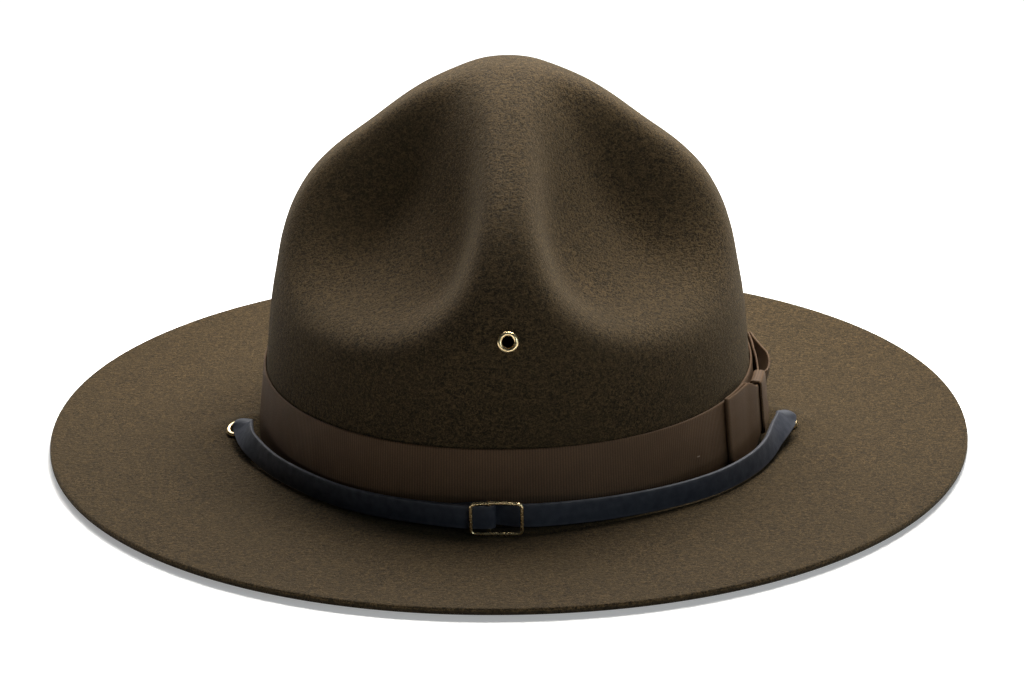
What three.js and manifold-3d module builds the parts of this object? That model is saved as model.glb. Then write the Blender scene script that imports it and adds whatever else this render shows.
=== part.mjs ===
// Campaign hat with a four-dented peak, resting on its own brim. Millimetres, +Z up, front towards -Y.
// The origin is on the resting surface, under the middle of the head opening.
import * as THREE from "three";
import { mergeVertices } from "three/addons/utils/BufferGeometryUtils.js";
import Module from "manifold-3d";

// Felt body
const crownWidth = 172.5;
const crownLength = 205;
const crownHeight = 133.8;
const crownWall = 2.3;
const crownSquareness = 2.1;
const peakAside = 1;
const brimWidth = 75.75;
const brimThickness = 2.4;
const brimSquareness = 2.04;
const rimLift = 1.5;
const frontRidgeHalfWidth = 14;
const sideRidgeHalfWidth = 15;

// Fit between pieces that touch
const seatGap = 0.3;

// Ribbon band and its flat bow
const ribbonHeight = 25.4;
const ribbonThickness = 0.8;
const ribbonFoot = 1.6;
const bowLength = 72;
const bowAheadOfSide = 22;
const bowLift = 1.2;
const bowWaist = 17;
const bowFlare = 12;
const bowRamp = 16;
const bowBulge = 3.4;
const bowPuffSkew = 0.5;
const bowFootShare = 0.4;
const knotWidth = 12;
const knotThickness = 0.9;
const knotGap = 0.35;
const knotRoundness = 0.55;

// Leather strap
const strapWidth = 8;
const strapThickness = 1.4;
const strapFoot = 0.9;
const strapTailLength = 22;
const strapFoldLength = 13;
const strapEndDrop = 1.3;

// Wire buckle of the strap
const buckleLength = 18;
const buckleHeight = 11.6;
const buckleWire = 1.15;
const buckleCorner = 1.4;
const buckleBarWire = 1.1;
const buckleBarAside = 2.4;
const buckleAside = 3.4;

// Brass eyelets
const ventOuter = 7.05;
const ventBore = 3.9;
const ventHeight = 62.2;
const brimEyeletOuter = 8.7;
const brimEyeletBore = 5.4;
const eyeletTube = 0.4;
const eyeletRoll = 1.1;
const eyeletShoulderShare = 0.12;
const eyeletFlange = 0.4;
const eyeletFlangeShare = 0.4;
const eyeletReach = 10;
const eyeletForward = 10;
const eyeletAside = 1.2;
const eyeletSeatGap = 0.5;
const eyeletDrillLength = 9.6;

// Felt lifted by the strap that passes under it
const strapRise = 5.5;
const strapRiseReach = 11.6;
const strapRiseBehind = 8.2;
const strapRiseInside = 5;

// Facets
const columns = 64;
const crownRows = 20;
const ridgeCrowding = 0.42;
const wireSides = 6;
const ringSides = 16;
const normalStep = 0.02;
const slopeStep = 0.5;

// Upright meridians of the crown from the brim to the peak: height on the ridges, share of the oval on the
// side and front ridges, spread of those ridges as shares of their half widths, height and share in a dent
const meridians = [
  { up: 0, side: 1.012, front: 1.012, frontWide: 4, sideWide: 4, dentUp: 0, dentOut: 1.012 },
  { up: 0.1, side: 0.998, front: 0.998, frontWide: 4, sideWide: 4, dentUp: 0.1, dentOut: 0.998 },
  { up: 0.2, side: 0.986, front: 0.986, frontWide: 4, sideWide: 4, dentUp: 0.2, dentOut: 0.986 },
  { up: 0.3, side: 0.973, front: 0.972, frontWide: 4, sideWide: 4, dentUp: 0.3, dentOut: 0.972 },
  { up: 0.38, side: 0.959, front: 0.956, frontWide: 3.6, sideWide: 3.9, dentUp: 0.375, dentOut: 0.948 },
  { up: 0.46, side: 0.937, front: 0.934, frontWide: 2.75, sideWide: 3.1, dentUp: 0.417, dentOut: 0.885 },
  { up: 0.54, side: 0.912, front: 0.9, frontWide: 2, sideWide: 2.35, dentUp: 0.45, dentOut: 0.785 },
  { up: 0.62, side: 0.868, front: 0.846, frontWide: 1.45, sideWide: 1.8, dentUp: 0.485, dentOut: 0.68 },
  { up: 0.7, side: 0.795, front: 0.765, frontWide: 1.15, sideWide: 1.4, dentUp: 0.525, dentOut: 0.58 },
  { up: 0.77, side: 0.69, front: 0.655, frontWide: 1, sideWide: 1.15, dentUp: 0.58, dentOut: 0.49 },
  { up: 0.84, side: 0.545, front: 0.51, frontWide: 1, sideWide: 1, dentUp: 0.65, dentOut: 0.405 },
  { up: 0.9, side: 0.42, front: 0.375, frontWide: 1.03, sideWide: 1, dentUp: 0.735, dentOut: 0.34 },
  { up: 0.94, side: 0.318, front: 0.275, frontWide: 1.08, sideWide: 1, dentUp: 0.825, dentOut: 0.28 },
  { up: 0.972, side: 0.205, front: 0.176, frontWide: 1.15, sideWide: 1, dentUp: 0.91, dentOut: 0.205 },
  { up: 0.993, side: 0.1, front: 0.086, frontWide: 1.2, sideWide: 1, dentUp: 0.974, dentOut: 0.115 },
  { up: 1, side: 0, front: 0, frontWide: 1.2, sideWide: 1, dentUp: 1, dentOut: 0 },
];

// Brim rows: share of the brim width, and share of the rim's lift there
const brimRows = [
  { out: 0.04, lift: 0 },
  { out: 0.08, lift: 0 },
  { out: 0.12, lift: 0 },
  { out: 0.16, lift: 0 },
  { out: 0.21, lift: 0 },
  { out: 0.3, lift: 0 },
  { out: 0.52, lift: 0.15 },
  { out: 0.76, lift: 0.52 },
  { out: 1, lift: 1 },
];

// Free end of the strap behind the buckle: distance from the bar as a share of the buckle's length, and how
// far it has sunk from the bar's layer to the tail's
const strapTuck = [
  { along: 0.36, sunk: 0.26 },
  { along: 0.16, sunk: 0.8 },
  { along: 0, sunk: 1 },
];

// Strap beside the crown, from the buckle to the eyelet: turn in degrees from the front, stand as a share
// of the eyelet's reach, lift as a share of the strap's width, lean in degrees from upright
const strapLeft = [
  { turn: 11, stand: 0.64, lift: 0.18, lean: 0 },
  { turn: 18, stand: 0.46, lift: 0.14, lean: 0 },
  { turn: 27, stand: 0.28, lift: 0.05, lean: 0 },
  { turn: 38, stand: 0.22, lift: 0, lean: 0 },
  { turn: 50, stand: 0.24, lift: 0, lean: 2 },
  { turn: 60, stand: 0.36, lift: 0, lean: 6 },
  { turn: 68, stand: 0.5, lift: 0.06, lean: 14 },
  { turn: 74, stand: 0.66, lift: 0.2, lean: 26 },
];
const strapRight = [
  { turn: 7, stand: 0.52, lift: 0.18, lean: 0 },
  { turn: 16, stand: 0.34, lift: 0.1, lean: 0 },
  { turn: 25, stand: 0.28, lift: 0.04, lean: 0 },
  { turn: 36, stand: 0.4, lift: 0, lean: 0 },
  { turn: 48, stand: 0.66, lift: 0, lean: 2 },
  { turn: 60, stand: 0.82, lift: 0, lean: 6 },
  { turn: 68, stand: 0.88, lift: 0.06, lean: 14 },
  { turn: 74, stand: 0.9, lift: 0.2, lean: 26 },
];

// Strap through the eyelet, shares of its width: towards the front, towards the crown on the left and right,
// along the eyelet's axis with the extra rise on the right, and its own width there
const strapDive = [
  { ahead: 0.82, left: 0.2, right: 0, up: 0.66, rise: 0.12, span: 1, lean: 56 },
  { ahead: 0.42, left: 0.26, right: 0.06, up: 0.76, rise: 0.1, span: 0.86, lean: 78 },
  { ahead: 0.1, left: 0.2, right: 0.1, up: 0.64, rise: 0.04, span: 0.56, lean: 90 },
  { ahead: 0, left: 0.09, right: 0.09, up: 0.46, rise: 0, span: 0.36, lean: 90 },
  { ahead: 0, left: 0.09, right: 0.09, up: -0.18, rise: 0, span: 0.36, lean: 90 },
];

// Strap under the brim and up into the crown, shares of its width behind and inside the eyelet
const strapUnder = [
  { behind: 0.22, inside: 0.17, up: 0.155, lean: 90, span: 0.52 },
  { behind: 0.62, inside: 0.48, up: 0.135, lean: 90, span: 0.8 },
  { behind: 1.2, inside: 0.98, up: 0.135, lean: 90, span: 1 },
  { behind: 2, inside: 1.88, up: 0.31, lean: 68, span: 1 },
];

// Strap on edge along the inside of the crown: turn in degrees from the front, stand off the felt and height
// of its middle as shares of its width
const strapInside = [
  { turn: 108, stand: 0.4, up: 0.5, lean: 46 },
  { turn: 117, stand: 0.14, up: 0.57, lean: 14 },
  { turn: 128, stand: 0, up: 0.57, lean: 0 },
  { turn: 140, stand: 0, up: 0.57, lean: 0 },
  { turn: 153, stand: 0, up: 0.57, lean: 0 },
  { turn: 166, stand: 0, up: 0.57, lean: 0 },
];

// Colours and finishes
const finishes = {
  felt: { color: 0x5b4e3c, roughness: 0.98, metalness: 0 },
  ribbon: { color: 0x3a2c20, roughness: 0.8, metalness: 0 },
  leather: { color: 0x1b1c22, roughness: 0.5, metalness: 0 },
  brass: { color: 0xb8985a, roughness: 0.3, metalness: 1 },
};

const wasm = await Module();
wasm.setup();

const up = new THREE.Vector3(0, 0, 1);
const half = 0.5;
const fullTurn = 2 * Math.PI;
const quarterTurn = Math.PI / 2;
const radians = THREE.MathUtils.degToRad;

// Value of a column of a table at a fractional row, on a smooth curve through the rows
function alongTable(table, column, row) {
  const last = table.length - 1;
  const index = Math.min(Math.floor(row), last - 1);
  const value = (i) => table[Math.min(Math.max(i, 0), last)][column];
  const [before, from, to, after] = [index - 1, index, index + 1, index + 2].map(value);
  const part = row - index;
  const fromSlope = half * (to - before);
  const toSlope = half * (after - from);
  const square = part * part;
  const cube = square * part;
  return (
    (2 * cube - 3 * square + 1) * from +
    (cube - 2 * square + part) * fromSlope +
    (3 * square - 2 * cube) * to +
    (cube - square) * toSlope
  );
}

// Point of a rounded oval in plan
function ovalPoint(theta, halfWidth, halfLength, squareness) {
  const power = 2 / squareness;
  const side = Math.cos(theta);
  const along = Math.sin(theta);
  return new THREE.Vector2(
    halfWidth * Math.sign(side) * Math.abs(side) ** power,
    halfLength * Math.sign(along) * Math.abs(along) ** power,
  );
}

// Outward direction of that oval at a point of it
function ovalNormal(point, halfWidth, halfLength, squareness) {
  const power = squareness - 1;
  return new THREE.Vector2(
    (Math.sign(point.x) * Math.abs(point.x / halfWidth) ** power) / halfWidth,
    (Math.sign(point.y) * Math.abs(point.y / halfLength) ** power) / halfLength,
  ).normalize();
}

// Angles round the hat, closer together at the four ridges
function columnAngles(count) {
  const ridges = 4;
  return Array.from({ length: count }, (_, i) => {
    const even = (i / count) * fullTurn;
    return even - (ridgeCrowding / ridges) * Math.sin(ridges * even);
  });
}

// Share of the oval at a height in the upright lower wall of the crown
function wallShare(height) {
  const share = height / crownHeight;
  const row = meridians.findIndex((entry) => entry.up > share) - 1;
  const from = meridians[row];
  const to = meridians[row + 1];
  const part = (share - from.up) / (to.up - from.up);
  return THREE.MathUtils.lerp(from.side, to.side, part);
}

// Centre of the place on the brim that an eyelet pierces, side is -1 or 1
function eyeletPlace(side) {
  return new THREE.Vector2(side * (crownWidth * half + eyeletReach) + eyeletAside, -eyeletForward);
}

// Height that the strap under the brim lifts the felt above a place of the plan
function riseAt(x, y) {
  const side = x < 0 ? -1 : 1;
  const place = eyeletPlace(side);
  const dx = x - (place.x - side * strapRiseInside);
  const dy = y - (place.y + strapRiseBehind);
  return strapRise * Math.exp(-(dx * dx + dy * dy) / strapRiseReach ** 2);
}

// Moves a point of the hat up with the felt that the strap lifts, less and less up the crown wall
function risen(point) {
  const height = Math.max(point.z - brimThickness, 0);
  const fade = 1 - THREE.MathUtils.smoothstep(height, 0, ribbonHeight);
  point.z += riseAt(point.x, point.y) * fade;
  return point;
}

// Point on the lower wall of the crown, moved outwards by an offset
function wallPoint(theta, height, offset) {
  const share = wallShare(height);
  const halfWidth = crownWidth * half * share;
  const halfLength = crownLength * half * share;
  const point = ovalPoint(theta, halfWidth, halfLength, crownSquareness);
  const normal = ovalNormal(point, halfWidth, halfLength, crownSquareness);
  point.addScaledVector(normal, offset);
  return new THREE.Vector3(point.x, point.y, brimThickness + height);
}

// Share of a ridge at a distance from its crest, as a share of its half width
function ridgeShare(distance) {
  return 1 / (1 + distance ** 4);
}

// Point on the outside of the crown at a fractional row of the meridians
function crownPoint(row, theta) {
  const at = (column) => alongTable(meridians, column, row);
  const ridgeOut = THREE.MathUtils.lerp(at("side"), at("front"), Math.sin(theta) ** 2);
  const halfWidth = crownWidth * half;
  const halfLength = crownLength * half;
  const onRidge = ovalPoint(theta, halfWidth * ridgeOut, halfLength * ridgeOut, crownSquareness);
  const nearFront = ridgeShare(onRidge.x / (frontRidgeHalfWidth * at("frontWide")));
  const nearSide = ridgeShare(onRidge.y / (sideRidgeHalfWidth * at("sideWide")));
  const ridge = 1 - (1 - nearFront) * (1 - nearSide);
  const out = Math.max(THREE.MathUtils.lerp(at("dentOut"), ridgeOut, ridge), 0);
  const height = THREE.MathUtils.lerp(at("dentUp"), at("up"), ridge);
  const point = ovalPoint(theta, halfWidth * out, halfLength * out, crownSquareness);
  const aside = peakAside * height ** 2;
  return new THREE.Vector3(point.x + aside, point.y, brimThickness + height * crownHeight);
}

// Outward direction of the crown at a row and angle
function crownNormal(row, theta) {
  const upwards = crownPoint(row + normalStep, theta).sub(crownPoint(row - normalStep, theta));
  const round = crownPoint(row, theta + normalStep).sub(crownPoint(row, theta - normalStep));
  return round.cross(upwards).normalize();
}

// Closed surface through rings of as many points each, closed on itself or capped at both ends
function loft(rings, closed, tips) {
  const size = rings[0].length;
  const positions = rings.flat().flatMap((point) => point.toArray());
  const faces = [];
  const spans = closed ? rings.length : rings.length - 1;
  for (let i = 0; i < spans; i += 1) {
    const next = (i + 1) % rings.length;
    for (let j = 0; j < size; j += 1) {
      const k = (j + 1) % size;
      const [a, b, c, d] = [i * size + j, i * size + k, next * size + k, next * size + j];
      faces.push(a, b, c, a, c, d);
    }
  }
  if (!closed) {
    const ends = tips ?? [middle(rings[0]), middle(rings[rings.length - 1])];
    const start = positions.length / 3;
    const top = (rings.length - 1) * size;
    ends.forEach((tip) => positions.push(...tip.toArray()));
    for (let j = 0; j < size; j += 1) {
      const k = (j + 1) % size;
      faces.push(start, k, j, start + 1, top + j, top + k);
    }
  }
  return outward(positions, faces);
}

// Middle of a ring of points
function middle(ring) {
  return ring.reduce((sum, point) => sum.add(point), new THREE.Vector3()).divideScalar(ring.length);
}

// Indexed geometry whose faces look out
function outward(positions, faces) {
  const corner = (i) => new THREE.Vector3().fromArray(positions, faces[i] * 3);
  let volume = 0;
  for (let i = 0; i < faces.length; i += 3) {
    volume += corner(i).dot(corner(i + 1).cross(corner(i + 2)));
  }
  const order = volume < 0 ? faces.slice().reverse() : faces;
  const geometry = new THREE.BufferGeometry();
  geometry.setAttribute("position", new THREE.Float32BufferAttribute(positions, 3));
  geometry.setIndex(order);
  return geometry;
}

// Solid of a closed geometry, for joining and cutting
function solidOf(geometry) {
  const bare = geometry.clone();
  bare.deleteAttribute("normal");
  bare.deleteAttribute("uv");
  const merged = mergeVertices(bare);
  return new wasm.Manifold(
    new wasm.Mesh({
      numProp: 3,
      vertProperties: Float32Array.from(merged.getAttribute("position").array),
      triVerts: Uint32Array.from(merged.getIndex().array),
    }),
  );
}

// Geometry of a solid
function geometryOf(solid) {
  const mesh = solid.getMesh();
  const geometry = new THREE.BufferGeometry();
  geometry.setAttribute("position", new THREE.BufferAttribute(mesh.vertProperties, 3));
  geometry.setIndex(new THREE.BufferAttribute(mesh.triVerts, 1));
  return geometry;
}

// Named mesh in one of the finishes
function piece(name, geometry, finish) {
  geometry.computeVertexNormals();
  const mesh = new THREE.Mesh(geometry, new THREE.MeshStandardMaterial(finishes[finish]));
  mesh.name = name;
  return mesh;
}

// Place and turn that carry +Z of a geometry to a direction at a point
function placement(point, direction) {
  const turn = new THREE.Quaternion().setFromUnitVectors(up, direction);
  return new THREE.Matrix4().compose(point, turn, new THREE.Vector3(1, 1, 1));
}

// Row of points round the brim, at a share of its width and a height above the resting surface
function brimRing(angles, out, height) {
  const foot = meridians[0].side;
  const inner = { width: crownWidth * half * foot, length: crownLength * half * foot };
  return angles.map((theta) => {
    const from = ovalPoint(theta, inner.width, inner.length, crownSquareness);
    const rim = ovalPoint(
      theta,
      crownWidth * half + brimWidth,
      crownLength * half + brimWidth,
      brimSquareness,
    );
    const point = from.lerp(rim, out);
    return risen(new THREE.Vector3(point.x, point.y, height));
  });
}

// Crown and brim in one hollow shell, open at the head, before the eyelets pierce it
function feltShell() {
  const angles = columnAngles(columns);
  const lastRow = meridians.length - 1;
  const rows = Array.from({ length: crownRows }, (_, i) => (i / crownRows) * lastRow);
  const outside = rows.map((row) => angles.map((theta) => risen(crownPoint(row, theta))));
  const inside = rows.slice(1).map((row) =>
    angles.map((theta) => risen(crownPoint(row, theta).addScaledVector(crownNormal(row, theta), -crownWall))),
  );
  const openingEdge = angles.map((theta) => risen(wallPoint(theta, 0, -crownWall)));
  const openingFoot = angles.map((theta) => {
    const point = wallPoint(theta, 0, -crownWall * half);
    return risen(point.setZ(0));
  });
  const top = brimRows.map((entry) => brimRing(angles, entry.out, brimThickness + rimLift * entry.lift));
  const under = brimRows.map((entry) => brimRing(angles, entry.out, rimLift * entry.lift));
  const peak = new THREE.Vector3(peakAside, 0, brimThickness + crownHeight);
  const rings = [
    ...outside.reverse(),
    ...top,
    ...under.reverse(),
    openingFoot,
    openingEdge,
    ...inside,
  ];
  return loft(rings, false, [peak, peak.clone().setZ(peak.z - crownWall)]);
}

// Middle of the felt and its outward direction where a brim eyelet sits
function brimSeat(side) {
  const place = eyeletPlace(side);
  const slope = (dx, dy) =>
    (riseAt(place.x + dx, place.y + dy) - riseAt(place.x - dx, place.y - dy)) / (2 * slopeStep);
  const height = brimThickness * half + riseAt(place.x, place.y);
  return {
    point: new THREE.Vector3(place.x, place.y, height),
    normal: new THREE.Vector3(-slope(slopeStep, 0), -slope(0, slopeStep), 1).normalize(),
  };
}

// Middle of the felt and its outward direction where the vent eyelet of the crown sits
function ventSeat() {
  const front = -quarterTurn;
  const row = meridians.findIndex((entry) => entry.up * crownHeight > ventHeight) - 1;
  const from = meridians[row].up * crownHeight;
  const to = meridians[row + 1].up * crownHeight;
  const exact = row + (ventHeight - from) / (to - from);
  const normal = crownNormal(exact, front);
  return { point: crownPoint(exact, front).addScaledVector(normal, -crownWall * half), normal };
}

// Rod that cuts the felt where an eyelet passes
function eyeletDrill(seat, bore, gap) {
  const radius = bore * half + eyeletTube + gap;
  const rod = new THREE.CylinderGeometry(radius, radius, eyeletDrillLength, ringSides);
  rod.rotateX(quarterTurn);
  return solidOf(rod.applyMatrix4(placement(seat.point, seat.normal)));
}

// Brass eyelet: rolled rim above the felt, tube through it and flange under it
function eyelet(seat, outer, bore, felt, gap) {
  const boreRadius = bore * half;
  const tubeRadius = boreRadius + eyeletTube;
  const rimRadius = outer * half;
  const face = felt * half + gap;
  const rollTop = face + eyeletRoll;
  const shoulder = rollTop - eyeletRoll * eyeletShoulderShare;
  const rollMiddle = face + eyeletRoll * half;
  const crest = (rimRadius + boreRadius) * half;
  const flangeRadius = THREE.MathUtils.lerp(tubeRadius, rimRadius, eyeletFlangeShare);
  const section = [
    [boreRadius, -face - eyeletFlange],
    [flangeRadius, -face - eyeletFlange],
    [flangeRadius, -face],
    [tubeRadius, -face],
    [tubeRadius, face],
    [rimRadius, face],
    [rimRadius, rollMiddle],
    [(rimRadius + crest) * half, shoulder],
    [crest, rollTop],
    [(boreRadius + crest) * half, shoulder],
    [boreRadius, rollMiddle],
  ];
  const rings = Array.from({ length: ringSides }, (_, i) => {
    const angle = (i / ringSides) * fullTurn;
    return section.map(
      ([radius, z]) => new THREE.Vector3(radius * Math.cos(angle), radius * Math.sin(angle), z),
    );
  });
  return loft(rings, true).applyMatrix4(placement(seat.point, seat.normal));
}

// Closed band of flat strip that follows a path in two coordinates. A function puts each point in place, from
// the point, its share of the strip's width and the step of the path
function band(path, thickness, shares, place) {
  const rings = path.map((point, i) => {
    const before = path[(i + path.length - 1) % path.length];
    const after = path[(i + 1) % path.length];
    const along = after.clone().sub(before).normalize();
    const across = new THREE.Vector2(-along.y, along.x).multiplyScalar(thickness * half);
    const near = point.clone().sub(across);
    const far = point.clone().add(across);
    const front = shares.map((share) => place(far, share, i));
    return [...shares.map((share) => place(near, share, i)), ...front.reverse()];
  });
  return loft(rings, true);
}

// Arc in a path round a centre, from a number of quarter turns to another
function arcPoints(x, y, radius, from, to, steps) {
  return Array.from({ length: steps + 1 }, (_, i) => {
    const angle = THREE.MathUtils.lerp(from, to, i / steps) * quarterTurn;
    return new THREE.Vector2(x + radius * Math.cos(angle), y + radius * Math.sin(angle));
  });
}

// Ribbon sewn round the foot of the crown
function ribbonBand() {
  const near = seatGap;
  const far = seatGap + ribbonThickness;
  const rows = [0, half, 1].map((share) => ribbonFoot + ribbonHeight * share);
  const rings = columnAngles(columns).map((theta) => [
    ...rows.map((height) => risen(wallPoint(theta, height, near))),
    ...rows.map((height) => risen(wallPoint(theta, height, far))).reverse(),
  ]);
  return loft(rings, true);
}

// Distances from the crown wall to the middles of the layers of the bow and knot
function bowLayers() {
  const flat = seatGap + ribbonThickness + seatGap + ribbonThickness * half;
  const knotBack = seatGap + ribbonThickness + knotGap + knotThickness * half;
  const held = knotBack + knotThickness * half + knotGap + ribbonThickness * half;
  const apart = ribbonThickness + seatGap;
  const knotFront = held + apart + ribbonThickness * half + knotGap + knotThickness * half;
  return { flat, held, apart, knotBack, knotFront };
}

// Length of the bow on each side of its middle that the knot holds
function heldLength() {
  return knotWidth * half + knotGap;
}

// How much the knot holds the bow at a distance from its middle, down to none over a reach past the knot
function knotHold(distance, reach) {
  return 1 - THREE.MathUtils.smoothstep(Math.abs(distance) - heldLength(), 0, reach);
}

// Angle round the crown of a distance along its side, measured backwards from the widest place
function sideAngle(distance) {
  return distance / (crownLength * half);
}

// Flat bow: one closed strip of ribbon, folded at both ends, drawn in and lifted where the knot holds it
function bow() {
  const steps = 13;
  const foldSteps = 4;
  const layers = bowLayers();
  const grip = heldLength();
  const reach = bowLength * half;
  const foldRadius = layers.apart * half;
  const foldMiddle = layers.flat + foldRadius;
  const free = Array.from({ length: steps - 1 }, (_, i) => grip + ((reach - grip) * (i + 1)) / steps);
  const backward = [grip * half, grip, ...free];
  const forward = backward.map((distance) => -distance).reverse();
  const places = [...forward, 0, ...backward];
  const stand = (distance) => THREE.MathUtils.lerp(layers.flat, layers.held, knotHold(distance, bowRamp));
  const puff = (distance) => {
    const share = Math.max(Math.abs(distance) - grip, 0) / (reach - grip);
    return bowBulge * Math.sin(Math.PI * share ** bowPuffSkew) ** 2;
  };
  const step = (point, loose) => ({ point, loose });
  const inside = places.map((x) => step(new THREE.Vector2(x, stand(x)), 0));
  const outside = places.map((x) => step(new THREE.Vector2(x, stand(x) + layers.apart + puff(x)), puff(x)));
  const front = arcPoints(-reach, foldMiddle, foldRadius, 1, 3, foldSteps).map((point) => step(point, 0));
  const back = arcPoints(reach, foldMiddle, foldRadius, -1, 1, foldSteps).map((point) => step(point, 0));
  const path = [...inside, ...back, ...outside.reverse(), ...front];
  const low = ribbonFoot + bowLift;
  const place = (point, share, i) => {
    const drawnIn = (ribbonHeight - bowWaist) * half * knotHold(point.x, bowFlare);
    const height = THREE.MathUtils.lerp(drawnIn, ribbonHeight - drawnIn, share);
    const offset = point.y - path[i].loose * (1 - bowFootShare) * (1 - share);
    return risen(wallPoint(sideAngle(point.x - bowAheadOfSide), low + height, offset));
  };
  const middles = path.map(({ point }) => point);
  return band(middles, ribbonThickness, [0, 1], place);
}

// Knot: a band of the same ribbon round the middle of the bow
function bowKnot() {
  const cornerSteps = 3;
  const layers = bowLayers();
  const clearance = knotGap + knotThickness * half;
  const middleHeight = ribbonFoot + bowLift + ribbonHeight * half;
  const low = middleHeight - bowWaist * half - clearance;
  const high = middleHeight + bowWaist * half + clearance;
  const corner = (layers.knotFront - layers.knotBack) * half * knotRoundness;
  const turns = [
    { height: high - corner, offset: layers.knotBack + corner, from: -1 },
    { height: high - corner, offset: layers.knotFront - corner, from: 0 },
    { height: low + corner, offset: layers.knotFront - corner, from: 1 },
    { height: low + corner, offset: layers.knotBack + corner, from: 2 },
  ];
  const path = turns.flatMap(({ height, offset, from }) =>
    arcPoints(height, offset, corner, from, from + 1, cornerSteps),
  );
  const place = (point, share) => {
    const distance = (share - half) * knotWidth - bowAheadOfSide;
    return risen(wallPoint(sideAngle(distance), point.x, point.y));
  };
  return band(path, knotThickness, [0, half, 1], place);
}

// Distances from the crown wall to the layers at the buckle, inside to outside
function buckleLayers() {
  const tail = seatGap + ribbonThickness + seatGap + strapThickness * half;
  const foldBack = tail + strapThickness + seatGap;
  const foldRadius = (buckleBarWire + strapThickness) * half + seatGap;
  const bar = foldBack + foldRadius;
  const foldFront = bar + foldRadius;
  const frame = foldFront + strapThickness * half + seatGap + buckleWire * half;
  return { tail, foldBack, foldRadius, bar, foldFront, frame };
}

// Height of the middle of the buckle above the brim
function buckleMiddle() {
  return 2 * seatGap + buckleHeight * half;
}

// Angle round the crown of a distance to the right of the front
function frontAngle(distance) {
  return -quarterTurn + distance / (crownWidth * half);
}

// Wire along a flat path, with the direction square to the path's plane
function wire(path, radius, square, closed) {
  const rings = path.map((point, i) => {
    const before = path[closed ? (i + path.length - 1) % path.length : Math.max(i - 1, 0)];
    const after = path[closed ? (i + 1) % path.length : Math.min(i + 1, path.length - 1)];
    const across = after.clone().sub(before).normalize().cross(square);
    return Array.from({ length: wireSides }, (_, j) => {
      const angle = ((j + half) / wireSides) * fullTurn;
      return point
        .clone()
        .addScaledVector(square, radius * Math.cos(angle))
        .addScaledVector(across, radius * Math.sin(angle));
    });
  });
  return loft(rings, closed);
}

// Buckle: a wire frame with a staple of wire set back across it, soldered into one
function buckle() {
  const cornerSteps = 4;
  const layers = buckleLayers();
  const halfLength = (buckleLength - buckleWire) * half;
  const halfHeight = (buckleHeight - buckleWire) * half;
  const corners = [
    { x: halfLength - buckleCorner, z: halfHeight - buckleCorner, from: 0 },
    { x: buckleCorner - halfLength, z: halfHeight - buckleCorner, from: 1 },
    { x: buckleCorner - halfLength, z: buckleCorner - halfHeight, from: 2 },
    { x: halfLength - buckleCorner, z: buckleCorner - halfHeight, from: 3 },
  ];
  const outline = corners.flatMap(({ x, z, from }) =>
    arcPoints(x, z, buckleCorner, from, from + 1, cornerSteps),
  );
  const frame = wire(
    outline.map((point) => new THREE.Vector3(point.x, 0, point.y)),
    buckleWire * half,
    new THREE.Vector3(0, 1, 0),
    true,
  );
  const depth = layers.frame - layers.bar - buckleBarWire;
  const bend = halfHeight - buckleBarWire;
  const legs = [
    ...arcPoints(depth, bend, buckleBarWire, 1, 0, cornerSteps),
    ...arcPoints(depth, -bend, buckleBarWire, 0, -1, cornerSteps),
  ];
  const staplePath = [
    new THREE.Vector3(-buckleBarAside, 0, halfHeight),
    ...legs.map((point) => new THREE.Vector3(-buckleBarAside, point.x, point.y)),
    new THREE.Vector3(-buckleBarAside, 0, -halfHeight),
  ];
  const staple = wire(staplePath, buckleBarWire * half, new THREE.Vector3(1, 0, 0), false);
  const theta = frontAngle(-buckleAside);
  const place = wallPoint(theta, 0, layers.frame);
  place.z += buckleMiddle();
  const outwards = inwardAt(theta, 0).negate();
  const geometry = geometryOf(solidOf(frame).add(solidOf(staple)));
  geometry.rotateZ(Math.atan2(outwards.x, -outwards.y));
  return geometry.translate(place.x, place.y, place.z);
}

// Station of the strap: middle of its section, direction across its width and share of its width there
function station(point, inward, lean, span) {
  const angle = radians(lean);
  const across = up.clone().multiplyScalar(Math.cos(angle)).addScaledVector(inward, Math.sin(angle));
  return { point, across, span };
}

// Direction from a place round the crown towards its middle, in plan
function inwardAt(theta, height) {
  return wallPoint(theta, height, 0).sub(wallPoint(theta, height, 1));
}

// Stations of the strap at the buckle, from its folded end to the left or from the right to its tail
function buckleStations(isLeft) {
  const layers = buckleLayers();
  const foldSteps = 6;
  const bar = -buckleBarAside;
  const at = (distance, offset, drop) => {
    const theta = frontAngle(distance - buckleAside);
    const point = wallPoint(theta, 0, offset);
    point.z += buckleMiddle() - drop;
    return station(point, inwardAt(theta, 0), 0, 1);
  };
  if (isLeft) {
    const fold = arcPoints(bar, layers.bar, layers.foldRadius, -1, 1, foldSteps);
    return [
      at(bar - strapFoldLength, layers.foldBack, strapEndDrop),
      at(bar - strapFoldLength * half, layers.foldBack, strapEndDrop * half),
      ...fold.map((point) => at(point.x, point.y, 0)),
      at((bar - buckleLength * half) * half, layers.foldFront, 0),
      at(-buckleLength * half, layers.foldFront, 0),
    ];
  }
  const tuck = strapTuck.map(({ along, sunk }) =>
    at(bar + along * buckleLength, THREE.MathUtils.lerp(layers.bar, layers.tail, sunk), 0),
  );
  return [
    at(buckleLength * half, layers.bar, 0),
    ...tuck,
    at(bar - strapTailLength * half, layers.tail, strapEndDrop),
    at(bar - strapTailLength, layers.tail, strapEndDrop),
  ];
}

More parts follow.
